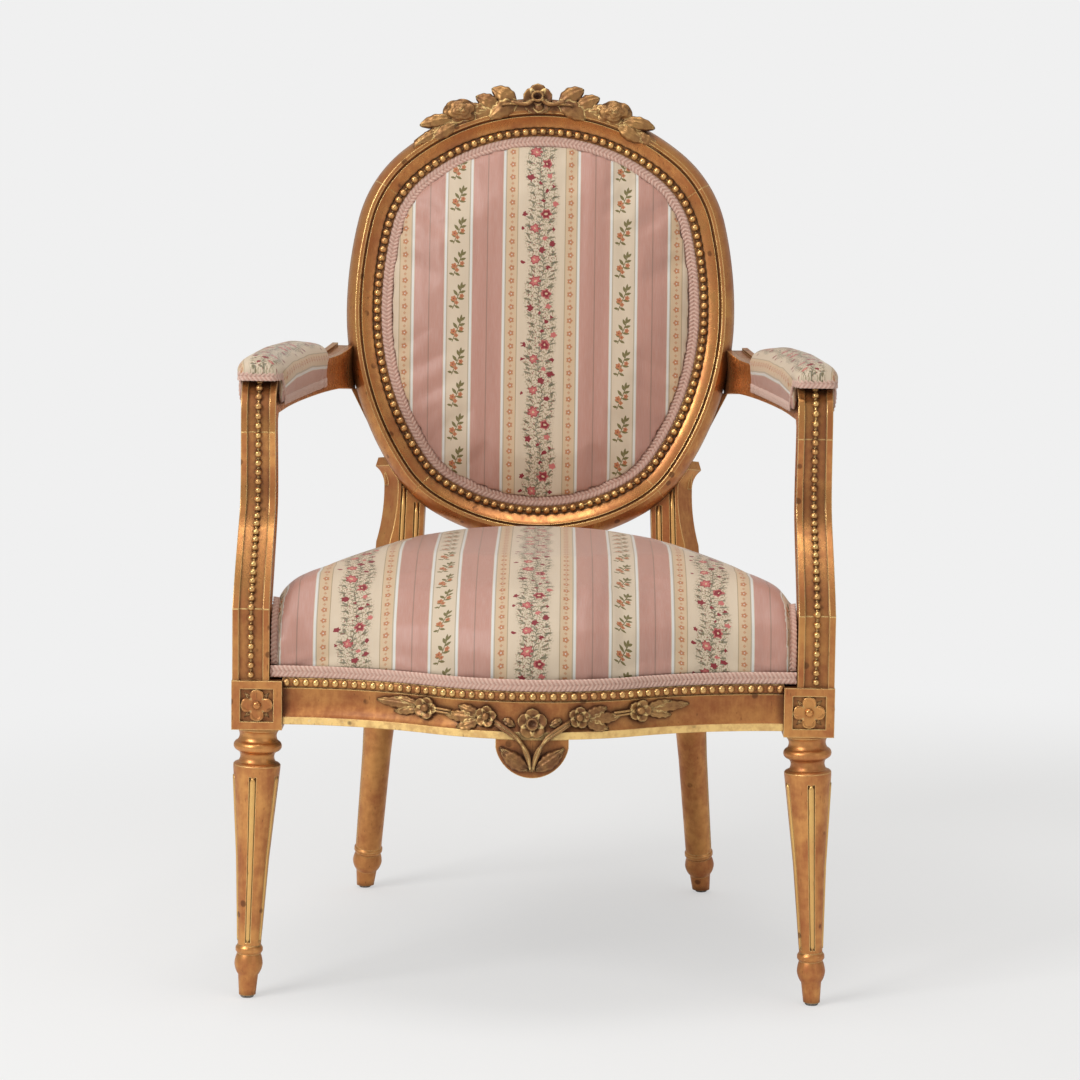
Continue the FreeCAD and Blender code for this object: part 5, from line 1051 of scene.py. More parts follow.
def stuffed(name, source, voxel, cap, held, smooth):
    """Cushion from a CAD solid: meshed evenly, then blown up as cloth by no more than cap.

    held gives each point's weight, up to 1 where it stays put.
    """
    scene = bpy.context.scene
    mesh = NODES[source].data.copy()
    obj = bpy.data.objects.new(name, mesh)
    scene.collection.objects.link(obj)
    obj.modifiers.new("weld", "WELD").merge_threshold = WELD_M
    remesh = obj.modifiers.new("remesh", "REMESH")
    remesh.mode, remesh.voxel_size = "VOXEL", voxel

    def bake():
        new = bpy.data.meshes.new_from_object(
            obj.evaluated_get(bpy.context.evaluated_depsgraph_get()))
        obj.modifiers.clear()
        obj.data = new

    bake()
    bm = bmesh.new()
    bm.from_mesh(obj.data)
    for _ in range(smooth):
        bmesh.ops.smooth_vert(bm, verts=bm.verts, factor=0.5, use_axis_x=True, use_axis_y=True,
                              use_axis_z=True)
    bm.to_mesh(obj.data)
    bm.free()
    before = mesh_points(obj.data).astype(float)
    weights = np.clip(held(before), 0, 1)
    group = obj.vertex_groups.new(name="held")
    for index in np.nonzero(weights > 0.02)[0]:
        group.add([int(index)], float(weights[index]), "REPLACE")
    cloth = obj.modifiers.new("stuffing", "CLOTH")
    cloth.settings.quality = 4
    cloth.settings.mass = 0.25
    cloth.settings.tension_stiffness = cloth.settings.compression_stiffness = 22
    cloth.settings.shear_stiffness = 8
    cloth.settings.bending_stiffness = 2.0
    cloth.settings.use_pressure = True
    cloth.settings.uniform_pressure_force = 4.0
    cloth.settings.vertex_group_mass = "held"
    cloth.settings.effector_weights.gravity = 0
    cloth.point_cache.frame_start, cloth.point_cache.frame_end = 1, STUFFING_FRAMES
    for number in range(1, STUFFING_FRAMES + 1):
        scene.frame_set(number)
    bake()
    scene.frame_set(1)
    obj.vertex_groups.clear()
    move = mesh_points(obj.data).astype(float) - before
    reach = np.linalg.norm(move, axis=1)[:, None]
    limit = cap * (1 - 0.96 * weights)[:, None]
    move *= np.minimum(1, limit / np.maximum(reach, 1e-9))
    move_points(obj.data, before + move)
    obj.modifiers.new("finer", "SUBSURF").levels = 1
    bake()
    shade_smooth(obj.data)
    return obj


def chair_points(obj):
    """A piece's points in chair millimetres, and its normals."""
    mesh = obj.data
    p = mesh_points(mesh).astype(float) * 1000
    p[:, 1] -= FRONT_LINE * 1000
    flat = np.empty(len(mesh.vertices) * 3, np.float32)
    mesh.vertex_normals.foreach_get("vector", flat)
    return p, flat.reshape(-1, 3).astype(float)


def lay_cloth(obj, u, v):
    """Stores the cloth's own coordinates, given in millimetres."""
    store_cloth(obj.data, np.stack([u, v], 1).astype(np.float32) * 0.001)


def herringbone(path, out, across, width, thick, pitch, closed):
    """Braid laid along a path: two rows of slanting strands with looped edges."""
    path, frames = spaced(path, np.hstack([out, across]), BRAID_STEP, closed)
    out, across = frames[:, :3], frames[:, 3:]
    out = out / np.linalg.norm(out, axis=1)[:, None]
    across = across / np.linalg.norm(across, axis=1)[:, None]
    columns = 13
    points, uv = [], []
    for i, (p, o, a) in enumerate(zip(path, out, across)):
        run = i * BRAID_STEP / pitch
        for k in range(columns):
            v = 2 * k / (columns - 1) - 1
            phase = run + 0.9 * abs(v)
            lobe = 0.5 + 0.5 * math.cos(math.tau * phase)
            h = thick * (0.42 + 0.58 * lobe) * (1 - 0.55 * v ** 6) - thick * 0.32 * math.exp(
                -(v / 0.13) ** 2)
            w = width / 2 * v * (1 + 0.05 * lobe * v * v)
            if k in (0, columns - 1):
                h = 0.0
            points.append(p + o * h + a * w)
            uv.append((run, v))
    faces = grid_faces(len(path), columns, closed)
    probe = np.cross(points[columns] - points[0], points[1] - points[0]) @ out[0]
    if probe > 0:
        faces = [f[::-1] for f in faces]
    return points, faces, uv


def braid_piece(name, runs, width=None, thick=2.4):
    """One piece from several runs of braid: (path, outward, across, closed)."""
    s = sizes()
    width = s.braid_width * 1000 if width is None else width
    parts, coordinates = [], []
    for path, out, across, closed in runs:
        points, faces, uv = herringbone(np.asarray(path, float), out, across, width, thick,
                                        s.braid_pitch * 1000, closed)
        parts.append((points, faces))
        coordinates += uv
    return piece(name, *gathered(parts), "pink braid", "braid", uv=coordinates)


# Groups of pieces

def make_stage():
    """Floor that fades into the backdrop colour, world, three lamps and the solved camera."""
    look = colours()
    scene = bpy.context.scene
    mesh = bpy.data.meshes.new("floor")
    mesh.from_pydata([(-9, -9, 0), (9, -9, 0), (9, 9, 0), (-9, 9, 0)], [], [(0, 1, 2, 3)])
    floor = bpy.data.objects.new("floor", mesh)
    scene.collection.objects.link(floor)
    made, g, shader = material("studio floor", Roughness=0.85, Specular_IOR_Level=0.1)
    position = g.position()
    tint = g.ramp(g.noise(position, 1.5, 2.0), 0.3, 0.7, 0.0, 0.02)
    g.put(shader["Base Color"], g.mix(tint, look.floor, srgb(236, 235, 232)))
    parts = g.parts(position)
    x, y = g.times(g.take(parts[0], 0.35), 0.9), g.take(parts[1], 0.1)
    reach = g.maths("SQRT", g.add(g.times(x, x), g.times(y, y)))
    paper = g.node("ShaderNodeEmission", {"Color": srgb(240, 240, 240)})
    blend = g.node("ShaderNodeMixShader")
    seen = g.node("ShaderNodeLightPath").outputs["Is Camera Ray"]
    g.put(blend.inputs[0], g.times(g.ramp(reach, 0.7, 1.8, 0.58, 1.0), seen))
    g.put(blend.inputs[1], shader["Base Color"].node.outputs[0])
    g.put(blend.inputs[2], paper.outputs[0])
    g.put(made.node_tree.nodes["Material Output"].inputs[0], blend.outputs[0])
    mesh.materials.append(made)

    world = bpy.data.worlds.new("studio")
    scene.world = world
    world.use_nodes = True
    world.node_tree.nodes.clear()
    w = Graph(world.node_tree)
    camera_ray = w.node("ShaderNodeLightPath").outputs["Is Camera Ray"]
    soft = w.node("ShaderNodeBackground", {"Color": srgb(240, 238, 235), "Strength": 0.52})
    shown = w.node("ShaderNodeBackground", {"Color": srgb(240, 240, 240), "Strength": 1.0})
    both = w.node("ShaderNodeMixShader")
    w.put(both.inputs[0], camera_ray)
    w.put(both.inputs[1], soft.outputs[0])
    w.put(both.inputs[2], shown.outputs[0])
    w.node("ShaderNodeOutputWorld", {"Surface": both.outputs[0]})

    for name, place, size, watts, aim in (
            ("key", (-2.3, -2.4, 2.5), 1.5, 74.0, (0.0, 0.0, 0.45)),
            ("fill", (2.6, -2.6, 1.5), 2.0, 9.0, (0.0, 0.0, 0.45)),
            ("top", (-0.1, -0.3, 3.3), 1.5, 26.0, (0.0, 0.0, 0.5))):
        light = bpy.data.lights.new(name, "AREA")
        light.shape, light.size, light.energy = "SQUARE", size, watts
        lamp = bpy.data.objects.new(name, light)
        scene.collection.objects.link(lamp)
        lamp.location = place
        lamp.rotation_euler = (Vector(aim) - Vector(place)).to_track_quat("-Z", "Y").to_euler()

    yaw, pitch, roll = 0.0039, 0.1183, 0.0132
    c, s, cp, sp = math.cos(yaw), math.sin(yaw), math.cos(pitch), math.sin(pitch)
    right = Vector((c, s, 0))
    forward = Vector((-s * cp, c * cp, -sp))
    up = Vector((-s * sp, c * sp, cp))
    cr, sr = math.cos(roll), math.sin(roll)
    camera = bpy.data.objects.new("camera", bpy.data.cameras.new("camera"))
    scene.collection.objects.link(camera)
    camera.data.lens, camera.data.sensor_width = 118.659, 36.0
    turn = Matrix([cr * right + sr * up, -sr * right + cr * up, -forward]).transposed()
    camera.matrix_world = Matrix.Translation((0.01911, -3.86986, 0.91702)) @ turn.to_4x4()
    scene.camera = camera
    scene.view_settings.view_transform = "Standard"


def soft_shading():
    """Modifier tree that joins split corners and shades smoothly up to sharp edges."""
    tree = bpy.data.node_groups.get("Soft corners")
    if tree:
        return tree
    tree = bpy.data.node_groups.new("Soft corners", "GeometryNodeTree")
    tree.interface.new_socket("Geometry", in_out="INPUT", socket_type="NodeSocketGeometry")
    tree.interface.new_socket("Geometry", in_out="OUTPUT", socket_type="NodeSocketGeometry")
    g = Graph(tree)
    plain = g.node("GeometryNodeRemoveAttribute",
                   {"Geometry": g.node("NodeGroupInput").outputs[0], "Name": "custom_normal"})
    merged = g.node("GeometryNodeMergeByDistance", {"Geometry": plain.outputs[0],
                                                    "Distance": WELD_M})
    smooth = g.node("GeometryNodeSetShadeSmooth", {"Geometry": merged.outputs[0],
                                                   "Shade Smooth": True})
    angle = g.node("GeometryNodeInputMeshEdgeAngle").outputs["Unsigned Angle"]
    sharp = g.node("FunctionNodeCompare", {0: angle, 1: math.radians(31)},
                   operation="GREATER_THAN")
    edges = g.node("GeometryNodeSetShadeSmooth",
                   {"Geometry": smooth.outputs[0], "Selection": sharp.outputs[0],
                    "Shade Smooth": False}, domain="EDGE")
    g.node("NodeGroupOutput", {0: edges.outputs[0]})
    return tree


def both(*names):
    """The names of left and right nodes."""
    return [name + side for name in names for side in ("_left", "_right")]


def finish_nodes(names, finish):
    """Gives carried-over nodes a material and soft corners."""
    for name in names:
        obj = NODES[name]
        wear(obj, finish)
        obj.modifiers.new("soft corners", "NODES").node_group = soft_shading()


def make_frame_finish():
    finish_nodes(both("front_leg", "rear_leg"), "gilt legs")
    finish_nodes(["front_rail"] + both("side_rail"), "gilt rails")
    finish_nodes(["back_frame_top", "back_frame_bottom"]
                 + both("back_frame_side", "arm_support", "arm"), "gilt frame")


def make_flute_rods():
    """Burnished rods that fill the flutes of the front legs and the stiles."""
    parts = []
    heights = np.array([236.0, 232.0, 193.0, 150.1, 105.0, 64.0, 60.4])
    reach = np.interp(heights, [59.9, 150.1, 236.5], [12.2, 16.95, 23.98])
    radii = np.array([1.0, 3.9, 3.6, 3.3, 2.9, 2.5, 0.9])
    lean = math.atan2(SPLAY, BLOCK_BOTTOM)
    for number in range(FLUTES):
        turn = math.radians(-85 + number * 360 / FLUTES)
        x = (reach + ROD_PROUD - radii) * math.cos(turn)
        y = (reach + ROD_PROUD - radii) * math.sin(turn)
        drop = BLOCK_BOTTOM - heights
        points = np.column_stack([BLOCK_X + x * math.cos(lean) + drop * math.sin(lean), y,
                                  BLOCK_BOTTOM - drop * math.cos(lean) + x * math.sin(lean)])
        for side in (1, -1):
            parts.append(tube(points * [side, 1, 1], radii, 10))
    for across, rise in (((155.5, 160.5), (-202.7, -355.0)), ((140.5, 142.2), (-223.7, -292.0))):
        x, s = np.linspace(*across, 7), np.linspace(*rise, 7)
        radii = np.array([0.9, 3.0, 3.0, 3.0, 3.0, 3.0, 0.9])
        points = in_back(x, s, STILE_FACE + STILE_ROD_PROUD - radii)
        for side in (1, -1):
            parts.append(tube(points * [side, 1, 1], radii, 10))
    piece("flute_rods", *gathered(parts), "gilt rods", "gilt_wood")


def make_inner_finish():
    finish_nodes(["rear_rail", "back_frame_dowels", "arm_dowels"]
                 + both("corner_block_front", "corner_block_rear"), "beech")
    finish_nodes(["lap_screws", "foot_glides"], "worn steel")
    finish_nodes(["seat_webbing", "back_webbing"], "jute webbing")
    finish_nodes(["seat_hessian"], "hessian")


def make_beads():
    """Beads round the back, along the front and side rails and up both arm supports."""
    s = sizes()
    flat = oval_path(0.0)[0]
    path = in_back(flat[:, 0], flat[:, 1], np.full(len(flat), BACK_BED_OUT))
    bead_row("beads_back", path, np.tile(BACK_OUT, (len(path), 1)), s.back_bead * 1000,
             s.back_pitch * 1000, 11, True)
    flat, out = rail_bow(BEAD_BED_OUT)
    z = np.full(len(flat), BEAD_BED_Z)
    path = np.column_stack([flat, z])[4:-4]
    bead_row("beads_front_rail", path, np.column_stack([out, 0 * z])[4:-4],
             s.rail_bead * 1000, s.rail_pitch * 1000, 12)
    flat, out = side_path(BEAD_BED_OUT)
    for side, name in SIDES:
        z = np.full(len(flat), BEAD_BED_Z)
        path = np.column_stack([flat * [side, 1], z])[4:-6]
        bead_row("beads_side_rail_" + name, path,
                 np.column_stack([out * [side, 1], 0 * z])[4:-6], s.rail_bead * 1000,
                 s.rail_pitch * 1000, 13 + side)
    path, out = channel_path()
    keep = slice(6, len(path) - 16)
    for side, name in SIDES:
        bead_row("beads_arm_" + name, path[keep] * [side, 1, 1], out[keep] * [side, 1, 1],
                 s.arm_bead * 1000, s.arm_pitch * 1000, 17 + side)


def make_crest():
    """Crest: middle flower with ring, stalks, leaves, two roses and their leaves."""
    x0 = CREST_X
    parts = [carved_flower(x0, 246.0, 18.5, 5, 4.6, width=1.04)]
    parts.append(lathe(x0 + 1.5, 237.0, [(0.0, 5.6), (3.4, 5.2), (6.2, 3.0), (7.0, -5.0)]))
    inner = ((27, 241.0, 34, 34, 21, 5.0, -20, 4), (47, 237.0, 24, 31, 18, 4.2, -10, 4),
             (24, 243.0, -26, 40, 22, 5.4, -26, 4), (62, 233.0, 8, 24, 14, 3.4, 0, 3))
    outer = ((104, 222.0, -8, 40, 16, 4.6, -14, 4), (98, 216.0, -30, 36, 16, 4.6, -4, 4),
             (120, 207.0, -26, 30, 13, 3.6, -10, 4))
    stalks = ((2.1, 8.0, ((4.0, 246.0), (11.0, 240.0), (19.0, 239.5), (33.0, 242.0))),
              (1.7, 7.0, ((7.0, 244.0), (16.0, 240.5), (28.0, 240.0), (44.0, 238.5))))
    for side in (1, -1):
        parts += carved_leaves(x0, side, inner)
        parts.append(carved_rose(x0 + side * 93, 230.5, 21.0, 0.66, 5 + side))
        parts += carved_leaves(x0, side, outer)
        for radius, lift, line in stalks:
            parts.append(stalk([(x0 + side * x, s) for x, s in line], radius, lift))
    ring = [(x0 + 6.6 * math.cos(t), 248.5 + 5.2 * math.sin(t)) for t in np.linspace(0, 6.1, 9)]
    parts.append(stalk(ring, 1.6, 9.2))
    ground, faces = [], []
    for i, x in enumerate(np.linspace(-150, 150, 61)):
        top = 245.4 if abs(x) < 1 else -11.1 + math.sqrt(256.5 ** 2 - x * x)
        taper = math.sqrt(max(0.0, 1 - (x / 150) ** 2))
        edge = 2.4 * taper - 0.6
        for s, h in ((-18, -11), (-16, -1), (-8 * taper - 3, 2.2), (edge - 2, 2.2 * taper),
                     (edge, -1.0), (edge - 1, -11)):
            ground.append((x0 + x, top + s, h))
    faces = grid_faces(61, 6, flip=True)
    faces += [(6 * i, 6 * i + 6, 6 * i + 11, 6 * i + 5) for i in range(60)]
    faces += [tuple(range(6)), tuple(range(365, 359, -1))]
    parts.append((ground, faces))
    points, faces = gathered(parts)
    points[:, 0] = x0 + (points[:, 0] - x0) * CREST_NARROWED
    base = 10.0 - 0.012 * np.maximum(0, np.abs(points[:, 0] - x0) - 60)
    made = piece("crest", in_back(points[:, 0], points[:, 1], points[:, 2] + base), faces,
                 "gilt carving", "gilt_wood")
    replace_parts(made, "crest_carving")


def rail_surface(points, lift):
    """Wraps (across, height, out) points onto the cove of the front rail."""
    flat, normals = rail_bow(0.0)
    p = np.asarray(points, float)
    front = np.interp(p[:, 0], flat[:, 0], flat[:, 1])
    nx = np.interp(p[:, 0], flat[:, 0], normals[:, 0])
    ny = np.interp(p[:, 0], flat[:, 0], normals[:, 1])
    cove = np.interp(p[:, 1], [293, 301, 308, 316, 326, 332], [0.0, 1.0, 4.2, 5.8, 5.4, 4.6])
    out = p[:, 2] + lift - cove
    return np.column_stack([p[:, 0] + nx * out, front + ny * out, p[:, 1]])


def make_rail_carving():
    """Garland along the middle of the front rail and the two leaves on its drop."""
    parts = [carved_flower(0.0, 309.0, 15.5, 5, 4.4)]
    garland = ((30, 313.0, -150, 14, 9, 3.0, 0, 3, 4), (55, 315.0, 24, 24, 12, 4.2, -12, 4, 4, 0.1),
               (57, 313.0, 2, 34, 13, 4.4, 0, 5, 4, 0.1),
               (55, 311.0, -22, 24, 12, 4.0, 14, 4, 4, 0.1),
               (118, 320.0, 16, 26, 10, 3.8, -12, 4, 4, 0.1),
               (120, 319.5, 4, 42, 12, 4.0, 0, 5, 4, 0.1),
               (118, 316.5, -12, 26, 9, 3.6, 10, 4, 4, 0.1))
    on_drop = ((2.0, 262.0, 33, 38, 17, 6.4, 18, 5, 5, 0.06, 0.9, 2.0),)
    for side in (1, -1):
        parts.append(carved_flower(side * 48, 315.0, 11.0, 5, 4.6, 80, ring=False))
        parts.append(carved_flower(side * 111, 318.5, 11.5, 5, 4.6, 70, ring=False))
        parts += carved_leaves(0, side, garland)
        for gap in (-1.4, 1.6):
            parts.append(stalk([(side * 84, 316.5 + gap), (side * 103, 318.0 + gap)], 1.4, 2.2))
            parts.append(stalk([(side * 1.2, 262.5 + gap), (side * (5.0 + gap), 279.0),
                                (side * 15.0, 295.0 + gap), (side * 38.0, 310.0 + gap)], 1.7, 3.8))
        parts += carved_leaves(0, side, on_drop)
    points, faces = gathered(parts)
    return piece("rail_carving", rail_surface(points, 0.4), faces, "gilt carving", "gilt_wood")


def make_rosettes():
    """Four-petalled flowers in the sunk squares of the leg blocks."""
    parts = []
    for k in range(4):
        parts.append(carved_petal(0, 0, 90 * k, 17.0, 14.5, 5.0, 3.6, 1.2))
        parts.append(rotated(carved_leaf(3, 3, 45, 14, 5, 1.8, 0, 2, 3.0), 90 * k))
    parts.append(lathe(0, 0, [(0, 6.4), (2.6, 6.0), (4.4, 4.6), (5.0, -1.0)]))
    points, faces = gathered(parts)
    floor = BLOCK_HALF - 4.0
    made = []
    for side in (1, -1):
        made.append((np.column_stack([side * BLOCK_X + points[:, 0], -floor - points[:, 2],
                                      BLOCK_MID_Z + points[:, 1]]), faces))
        made.append((np.column_stack([side * (BLOCK_X + floor + points[:, 2]),
                                      side * points[:, 0], BLOCK_MID_Z + points[:, 1]]), faces))
    return piece("block_rosettes", *gathered(made), "gilt frame", "gilt_wood")


def rotated(part, degrees):
    """The part turned on its ground, about the origin."""
    points, faces = part
    p = np.asarray(points, float)
    c, s = math.cos(math.radians(degrees)), math.sin(math.radians(degrees))
    return np.column_stack([p[:, 0] * c - p[:, 1] * s, p[:, 0] * s + p[:, 1] * c, p[:, 2]]), faces


def held_below(top, fade):
    """Weights of points that stay put: none above top, all from fade below it. In metres."""
    return lambda p: np.clip((top - p[:, 2]) / fade, 0, 1)


def make_seat():
    """Seat cushion under its striped cover."""
    obj = stuffed("seat_cushion", "seat_stuffing", sizes().seat_voxel, cap=0.004,
                  held=held_below(0.352, 0.006), smooth=5)
    p, n = chair_points(obj)
    # How far the cloth has run down the side at each height, past the crown of the seat
    spread = np.interp(p[:, 2], [341, 353, 376, 403, 435, 457], [76, 64, 37, 16.6, 3, 0])
    share = np.abs(n[:, 1]) / (np.abs(n[:, 0]) + np.abs(n[:, 1]) + 1e-6)
    front = np.clip((share - 0.38) / 0.24, 0, 1)
    front = front * front * (3 - 2 * front)
    u = p[:, 0] + np.sign(p[:, 0]) * spread * (1 - front)
    v = p[:, 1] - np.sign(250 - p[:, 1]) * spread * front
    lay_cloth(obj, u, v - SEAT_PATTERN_Y)
    wear(obj, "striped silk")
    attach(obj, "root")
    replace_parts(obj, "seat_cover", "seat_stuffing")
    return obj


def make_back():
    """Back cushion inside the oval, under its striped cover."""
    def held(p):
        q = p * 1000
        q[:, 1] -= FRONT_LINE * 1000
        return np.clip((2.5 - (q - in_back(0, 0, 0)) @ BACK_OUT) / 3.0, 0, 1)
    obj = stuffed("back_cushion", "back_stuffing", sizes().back_voxel, cap=0.004, held=held,
                  smooth=3)
    p = chair_points(obj)[0]
    rise = (p - in_back(0, 0, 0)) @ BACK_UP
    depth = (p - in_back(0, 0, 0)) @ BACK_OUT
    wider = 1 + 0.04 * np.clip((depth + 2.0) / 5.0, 0, 1)
    move_points(obj.data, row(in_back(p[:, 0] * wider, rise * wider, depth)))
    lay_cloth(obj, p[:, 0], rise - BACK_PATTERN_S)
    wear(obj, "striped silk")
    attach(obj, "root")
    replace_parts(obj, "back_cover", "back_stuffing")
    return obj


def make_arm_pads():
    """Two stuffed pads that sit over the arms like saddles."""
    for side, name in SIDES:
        obj = stuffed("pad_" + name, "arm_pad_" + name, sizes().pad_voxel, cap=0.003,
                      held=held_below(0.622, 0.008), smooth=4)
        p, n = chair_points(obj)
        middle = np.interp(p[:, 1], [46, 150, 250, 384], [290, 288.6, 279.5, 259]) * side
        w = p[:, 0] - middle
        drop = np.interp(p[:, 2], [613, 640, 660, 670], [44, 17, 3, 0])
        across = w + np.sign(w) * drop * np.clip(np.abs(n[:, 0]) * 1.4, 0, 1)
        nose = np.interp(p[:, 1], [46, 58, 80], [22, 6, 0]) * np.clip(-n[:, 1] * 1.5, 0, 1)
        lay_cloth(obj, across * side + PAD_PATTERN_X, p[:, 1] - nose - PAD_PATTERN_Y)
        wear(obj, "striped silk")
        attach(obj, "root")
        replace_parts(obj, "arm_pad_" + name)


def surface_path(obj, origins, direction):
    """Points and normals where rays meet a piece, in chair millimetres."""
    mesh = obj.data
    tree = BVHTree.FromPolygons([v.co for v in mesh.vertices],
                                [tuple(f.vertices) for f in mesh.polygons])
    points, normals = [], []
    aims = np.broadcast_to(direction, (len(origins), 3))
    for origin, aim in zip(row(origins), aims):
        place, normal = tree.ray_cast(Vector(origin), Vector(aim))[:2]
        if place is not None:
            points.append((place.x * 1000, (place.y - FRONT_LINE) * 1000, place.z * 1000))
            normals.append(tuple(normal))
    return np.array(points), np.array(normals)


def make_seat_braid():
    """Braid along the foot of the seat and up its two front corners."""
    up = np.array([0.0, 0.0, 1.0])
    foot_z = RAIL_TOP + BRAID_GAP + sizes().braid_width * 500
    runs = []

    def add_run(flat, out):
        z = np.full(len(flat), foot_z)
        runs.append((np.column_stack([flat, z]), np.column_stack([out, 0 * z]),
                     np.tile(up, (len(z), 1)), False))
    flat, out = rail_bow(-5.0)
    ends = np.linspace(RAIL_SPAN - 4, 270.5, 14)
    right = np.column_stack([ends, np.full(14, RAIL_EDGE_Y + 5.0)])
    keep = np.abs(flat[:, 0]) < RAIL_SPAN - 5
    flat = np.vstack([(right * [-1, 1])[::-1], flat[keep], right])
    out = np.vstack([np.tile([0, -1], (14, 1)), out[keep], np.tile([0, -1], (14, 1))])
    add_run(flat, out)
    cushion = bpy.data.objects["seat_cushion"]
    for side in (1, -1):
        flat, out = arc_path(*SEAT_SIDE)
        keep = flat[:, 1] > 14.6
        add_run(flat[keep] * [side, 1], out[keep] * [side, 1])
        starts = [(side * SEAT_CORNER[0], SEAT_CORNER[1], h) for h in np.arange(354.0, 428.0, 2.0)]
        path, normal = surface_path(cushion, starts, (0, 1, 0))
        if len(path) > 8:
            runs.append((path, normal, np.tile([1.0, 0, 0], (len(path), 1)), False))
    add_run(np.column_stack([np.linspace(-128, 128, 60), np.full(60, 473.0)]),
            np.tile([0.0, 1], (60, 1)))
    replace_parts(braid_piece("braid_seat", runs), "seat_gimp")


def oval_braid(name, inset, depth, outward, width, thick):
    """Braid round the oval, inset from the beads and at a depth in the back."""
    flat, out = oval_path(-inset)
    path = in_back(flat[:, 0], flat[:, 1], np.full(len(flat), depth))
    across = in_back(out[:, 0], out[:, 1], np.zeros(len(out))) - in_back(0, 0, 0)
    return braid_piece(name, [(path, np.tile(outward, (len(path), 1)), across, True)], width, thick)


def make_back_braids():
    """Braid inside the beads, and round the cloth on the outside of the back."""
    made = oval_braid("braid_back", inset=11.6, depth=-1.0, outward=BACK_OUT, width=13.0, thick=3.0)
    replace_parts(made, "back_gimp")
    made = oval_braid("braid_outside_back", inset=14.5, depth=-19.4, outward=-BACK_OUT, width=12.0,
                      thick=2.3)
    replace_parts(made, "back_outside_gimp")


def make_pad_braids():
    """Braid on the lower edge of each pad, round its nose and along both flanks."""
    for side, name in SIDES:
        pad = bpy.data.objects["pad_" + name]
        points = chair_points(pad)[0]
        nose = points[points[:, 1] < 66]
        nose_z = float(nose[:, 2].min()) + 5.0
        starts, aims = [], []
        for y in np.arange(370.0, 78.0, -3.0):
            starts.append((120.0 * side, y, np.interp(y, [78, 92], [nose_z, PAD_FOOT_Z])))
            aims.append((side, 0.0, 0.0))
        for turn in np.radians(np.arange(183.0, 358.0, 4.0)):
            aim = np.array([side * math.cos(turn), math.sin(turn), 0.0])
            starts.append(np.array([side * ARM_FRONT_X, 76.0, nose_z]) + 90 * aim)
            aims.append(tuple(-aim))
        for y in np.arange(80.0, 370.0, 3.0):
            starts.append((450.0 * side, y, np.interp(y, [78, 92], [nose_z, PAD_FOOT_Z])))
            aims.append((-side, 0.0, 0.0))
        path, normal = surface_path(pad, starts, aims)
        runs = [(path, normal, np.tile([0.0, 0.0, 1.0], (len(path), 1)), False)]
        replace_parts(braid_piece("braid_arm_" + name, runs, 10.5, 2.0), "arm_pad_gimp_" + name)


def make_sheets():
    """Outside back cover, stretched in the rear rebate, and dust cover under the seat."""
    flat = oval_path(COVER_INSET, 6.0)[0][::2]
    points, faces = [(0.0, 0.0, 0.0)], []
    rings = 10
    for i in range(1, rings + 1):
        share = i / rings
        for x, s in flat:
            points.append((x * share, s * share, 2.4 * (1 - share ** 2)))
    count = len(flat)
    for k in range(count):
        faces.append((0, 1 + (k + 1) % count, 1 + k))
    for i in range(rings - 1):
        for k in range(count):
            a, b = 1 + i * count + k, 1 + i * count + (k + 1) % count
            faces.append((a, b, b + count, a + count))
    p = np.array(points)
    cover = piece("outside_back_cloth", in_back(p[:, 0], p[:, 1], COVER_DEPTH - p[:, 2] * 0.5), faces,
                  "backing cotton", "backing_cloth")
    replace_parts(cover, "back_outside_cover")
    edge = flat * 0.001
    area = abs(0.5 * np.sum(edge[:, 0] * np.roll(edge[:, 1], -1)
                            - np.roll(edge[:, 0], -1) * edge[:, 1]))

    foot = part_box("dust_cover")[0].z
    mesh = NODES["dust_cover"].data
    under = bmesh.new()
    under.from_mesh(mesh)
    bmesh.ops.remove_doubles(under, verts=under.verts, dist=WELD_M)
    drop = [f for f in under.faces if f.calc_center_median().z > foot + 0.0002]
    bmesh.ops.delete(under, geom=drop, context="FACES")
    bmesh.ops.triangulate(under, faces=under.faces)
    bmesh.ops.subdivide_edges(under, edges=under.edges, cuts=2, use_grid_fill=True)
    made = bpy.data.meshes.new("dust_cloth")
    under.to_mesh(made)
    area = sum(f.calc_area() for f in under.faces)
    under.free()
    obj = bpy.data.objects.new("dust_cloth", made)
    bpy.context.scene.collection.objects.link(obj)
    co = mesh_points(made)
    middle = np.hypot(co[:, 0] / 0.25, co[:, 1] / 0.24)
    co[:, 2] -= np.clip(1 - middle, 0, 1) ** 1.5 * 0.004
    move_points(made, co)
    shade_smooth(made)
    wear(obj, "dust cotton")
    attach(obj, "root")
    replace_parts(obj, "dust_cover")


# Operators

class Step:
    """Makes one group of pieces, with the finishes that they need."""

    def execute(self, context):
        prepare_finishes()
        for make in self.makers:
            make()
        return {"FINISHED"}


class ARMCHAIR_OT_stage(Step, bpy.types.Operator):
    """Floor, backdrop colour, soft lamps and the camera"""
    bl_idname, bl_label = "armchair.stage", "Studio stage"
    makers = (make_stage,)


class ARMCHAIR_OT_frame(Step, bpy.types.Operator):
    """Old gilding on the legs, rails, supports, arms and oval frame"""
    bl_idname, bl_label = "armchair.frame", "Gilded frame"
    makers = (make_frame_finish, make_flute_rods)


class ARMCHAIR_OT_inner(Step, bpy.types.Operator):
    """Beech, webbing, hessian and steel of the parts inside and below"""
    bl_idname, bl_label = "armchair.inner", "Inner parts"
    makers = (make_inner_finish,)


class ARMCHAIR_OT_beads(Step, bpy.types.Operator):
    """Rows of beads round the back, along the rails and up the supports"""
    bl_idname, bl_label = "armchair.beads", "Rows of beads"
    makers = (make_beads,)


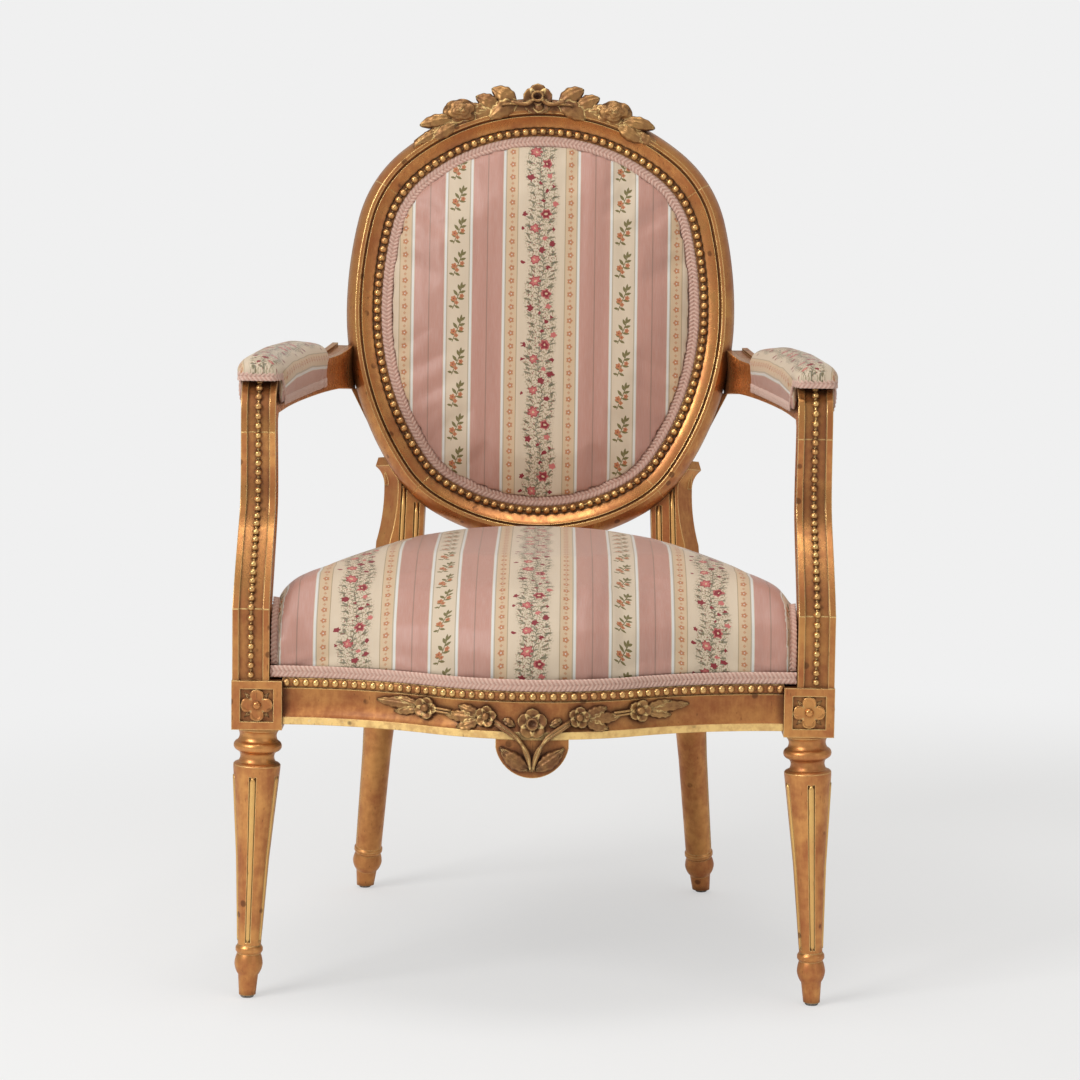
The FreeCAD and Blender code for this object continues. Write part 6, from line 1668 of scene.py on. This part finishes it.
class ARMCHAIR_OT_crest(Step, bpy.types.Operator):
    """Carved crest of roses, leaves and a middle flower"""
    bl_idname, bl_label = "armchair.crest", "Crest carving"
    makers = (make_crest,)


class ARMCHAIR_OT_rail_carving(Step, bpy.types.Operator):
    """Garland on the front rail and leaves on its drop"""
    bl_idname, bl_label = "armchair.rail_carving", "Rail carving"
    makers = (make_rail_carving,)


class ARMCHAIR_OT_rosettes(Step, bpy.types.Operator):
    """Carved squares on the leg blocks"""
    bl_idname, bl_label = "armchair.rosettes", "Block rosettes"
    makers = (make_rosettes,)


class ARMCHAIR_OT_seat(Step, bpy.types.Operator):
    """Stuffed seat in striped silk"""
    bl_idname, bl_label = "armchair.seat", "Seat"
    makers = (make_seat,)


class ARMCHAIR_OT_back(Step, bpy.types.Operator):
    """Stuffed oval back in striped silk"""
    bl_idname, bl_label = "armchair.back", "Back"
    makers = (make_back,)


class ARMCHAIR_OT_arm_pads(Step, bpy.types.Operator):
    """Stuffed pads on the arms"""
    bl_idname, bl_label = "armchair.arm_pads", "Arm pads"
    makers = (make_arm_pads,)


class ARMCHAIR_OT_braids(Step, bpy.types.Operator):
    """Herringbone braid along the edges of the upholstery"""
    bl_idname, bl_label = "armchair.braids", "Braid"
    makers = (make_seat_braid, make_back_braids, make_pad_braids)


class ARMCHAIR_OT_sheets(Step, bpy.types.Operator):
    """Outside back cover and dust cover"""
    bl_idname, bl_label = "armchair.sheets", "Outside cloths"
    makers = (make_sheets,)


STEPS = (ARMCHAIR_OT_stage, ARMCHAIR_OT_frame, ARMCHAIR_OT_inner, ARMCHAIR_OT_beads,
         ARMCHAIR_OT_crest, ARMCHAIR_OT_rail_carving, ARMCHAIR_OT_rosettes, ARMCHAIR_OT_seat,
         ARMCHAIR_OT_back, ARMCHAIR_OT_arm_pads, ARMCHAIR_OT_braids, ARMCHAIR_OT_sheets)


class VIEW3D_PT_armchair(bpy.types.Panel):
    """Lists the armchair's groups of pieces"""
    bl_label = "Armchair"
    bl_space_type = "VIEW_3D"
    bl_region_type = "UI"
    bl_category = "Armchair"

    def draw(self, context):
        for step in STEPS:
            self.layout.operator(step.bl_idname)
        for settings in (context.scene.armchair_sizes, context.scene.armchair_colours):
            for name in settings.__annotations__:
                self.layout.prop(settings, name)


CLASSES = (ArmchairSizes, ArmchairColours) + STEPS + (VIEW3D_PT_armchair,)


def register():
    for one in CLASSES:
        bpy.utils.register_class(one)
    bpy.types.Scene.armchair_sizes = bpy.props.PointerProperty(type=ArmchairSizes)
    bpy.types.Scene.armchair_colours = bpy.props.PointerProperty(type=ArmchairColours)


def unregister():
    del bpy.types.Scene.armchair_colours
    del bpy.types.Scene.armchair_sizes
    for one in reversed(CLASSES):
        bpy.utils.unregister_class(one)


def main():
    register()
    for step in STEPS:
        group, name = step.bl_idname.split(".")
        getattr(getattr(bpy.ops, group), name)()


if __name__ == "__main__":
    main()
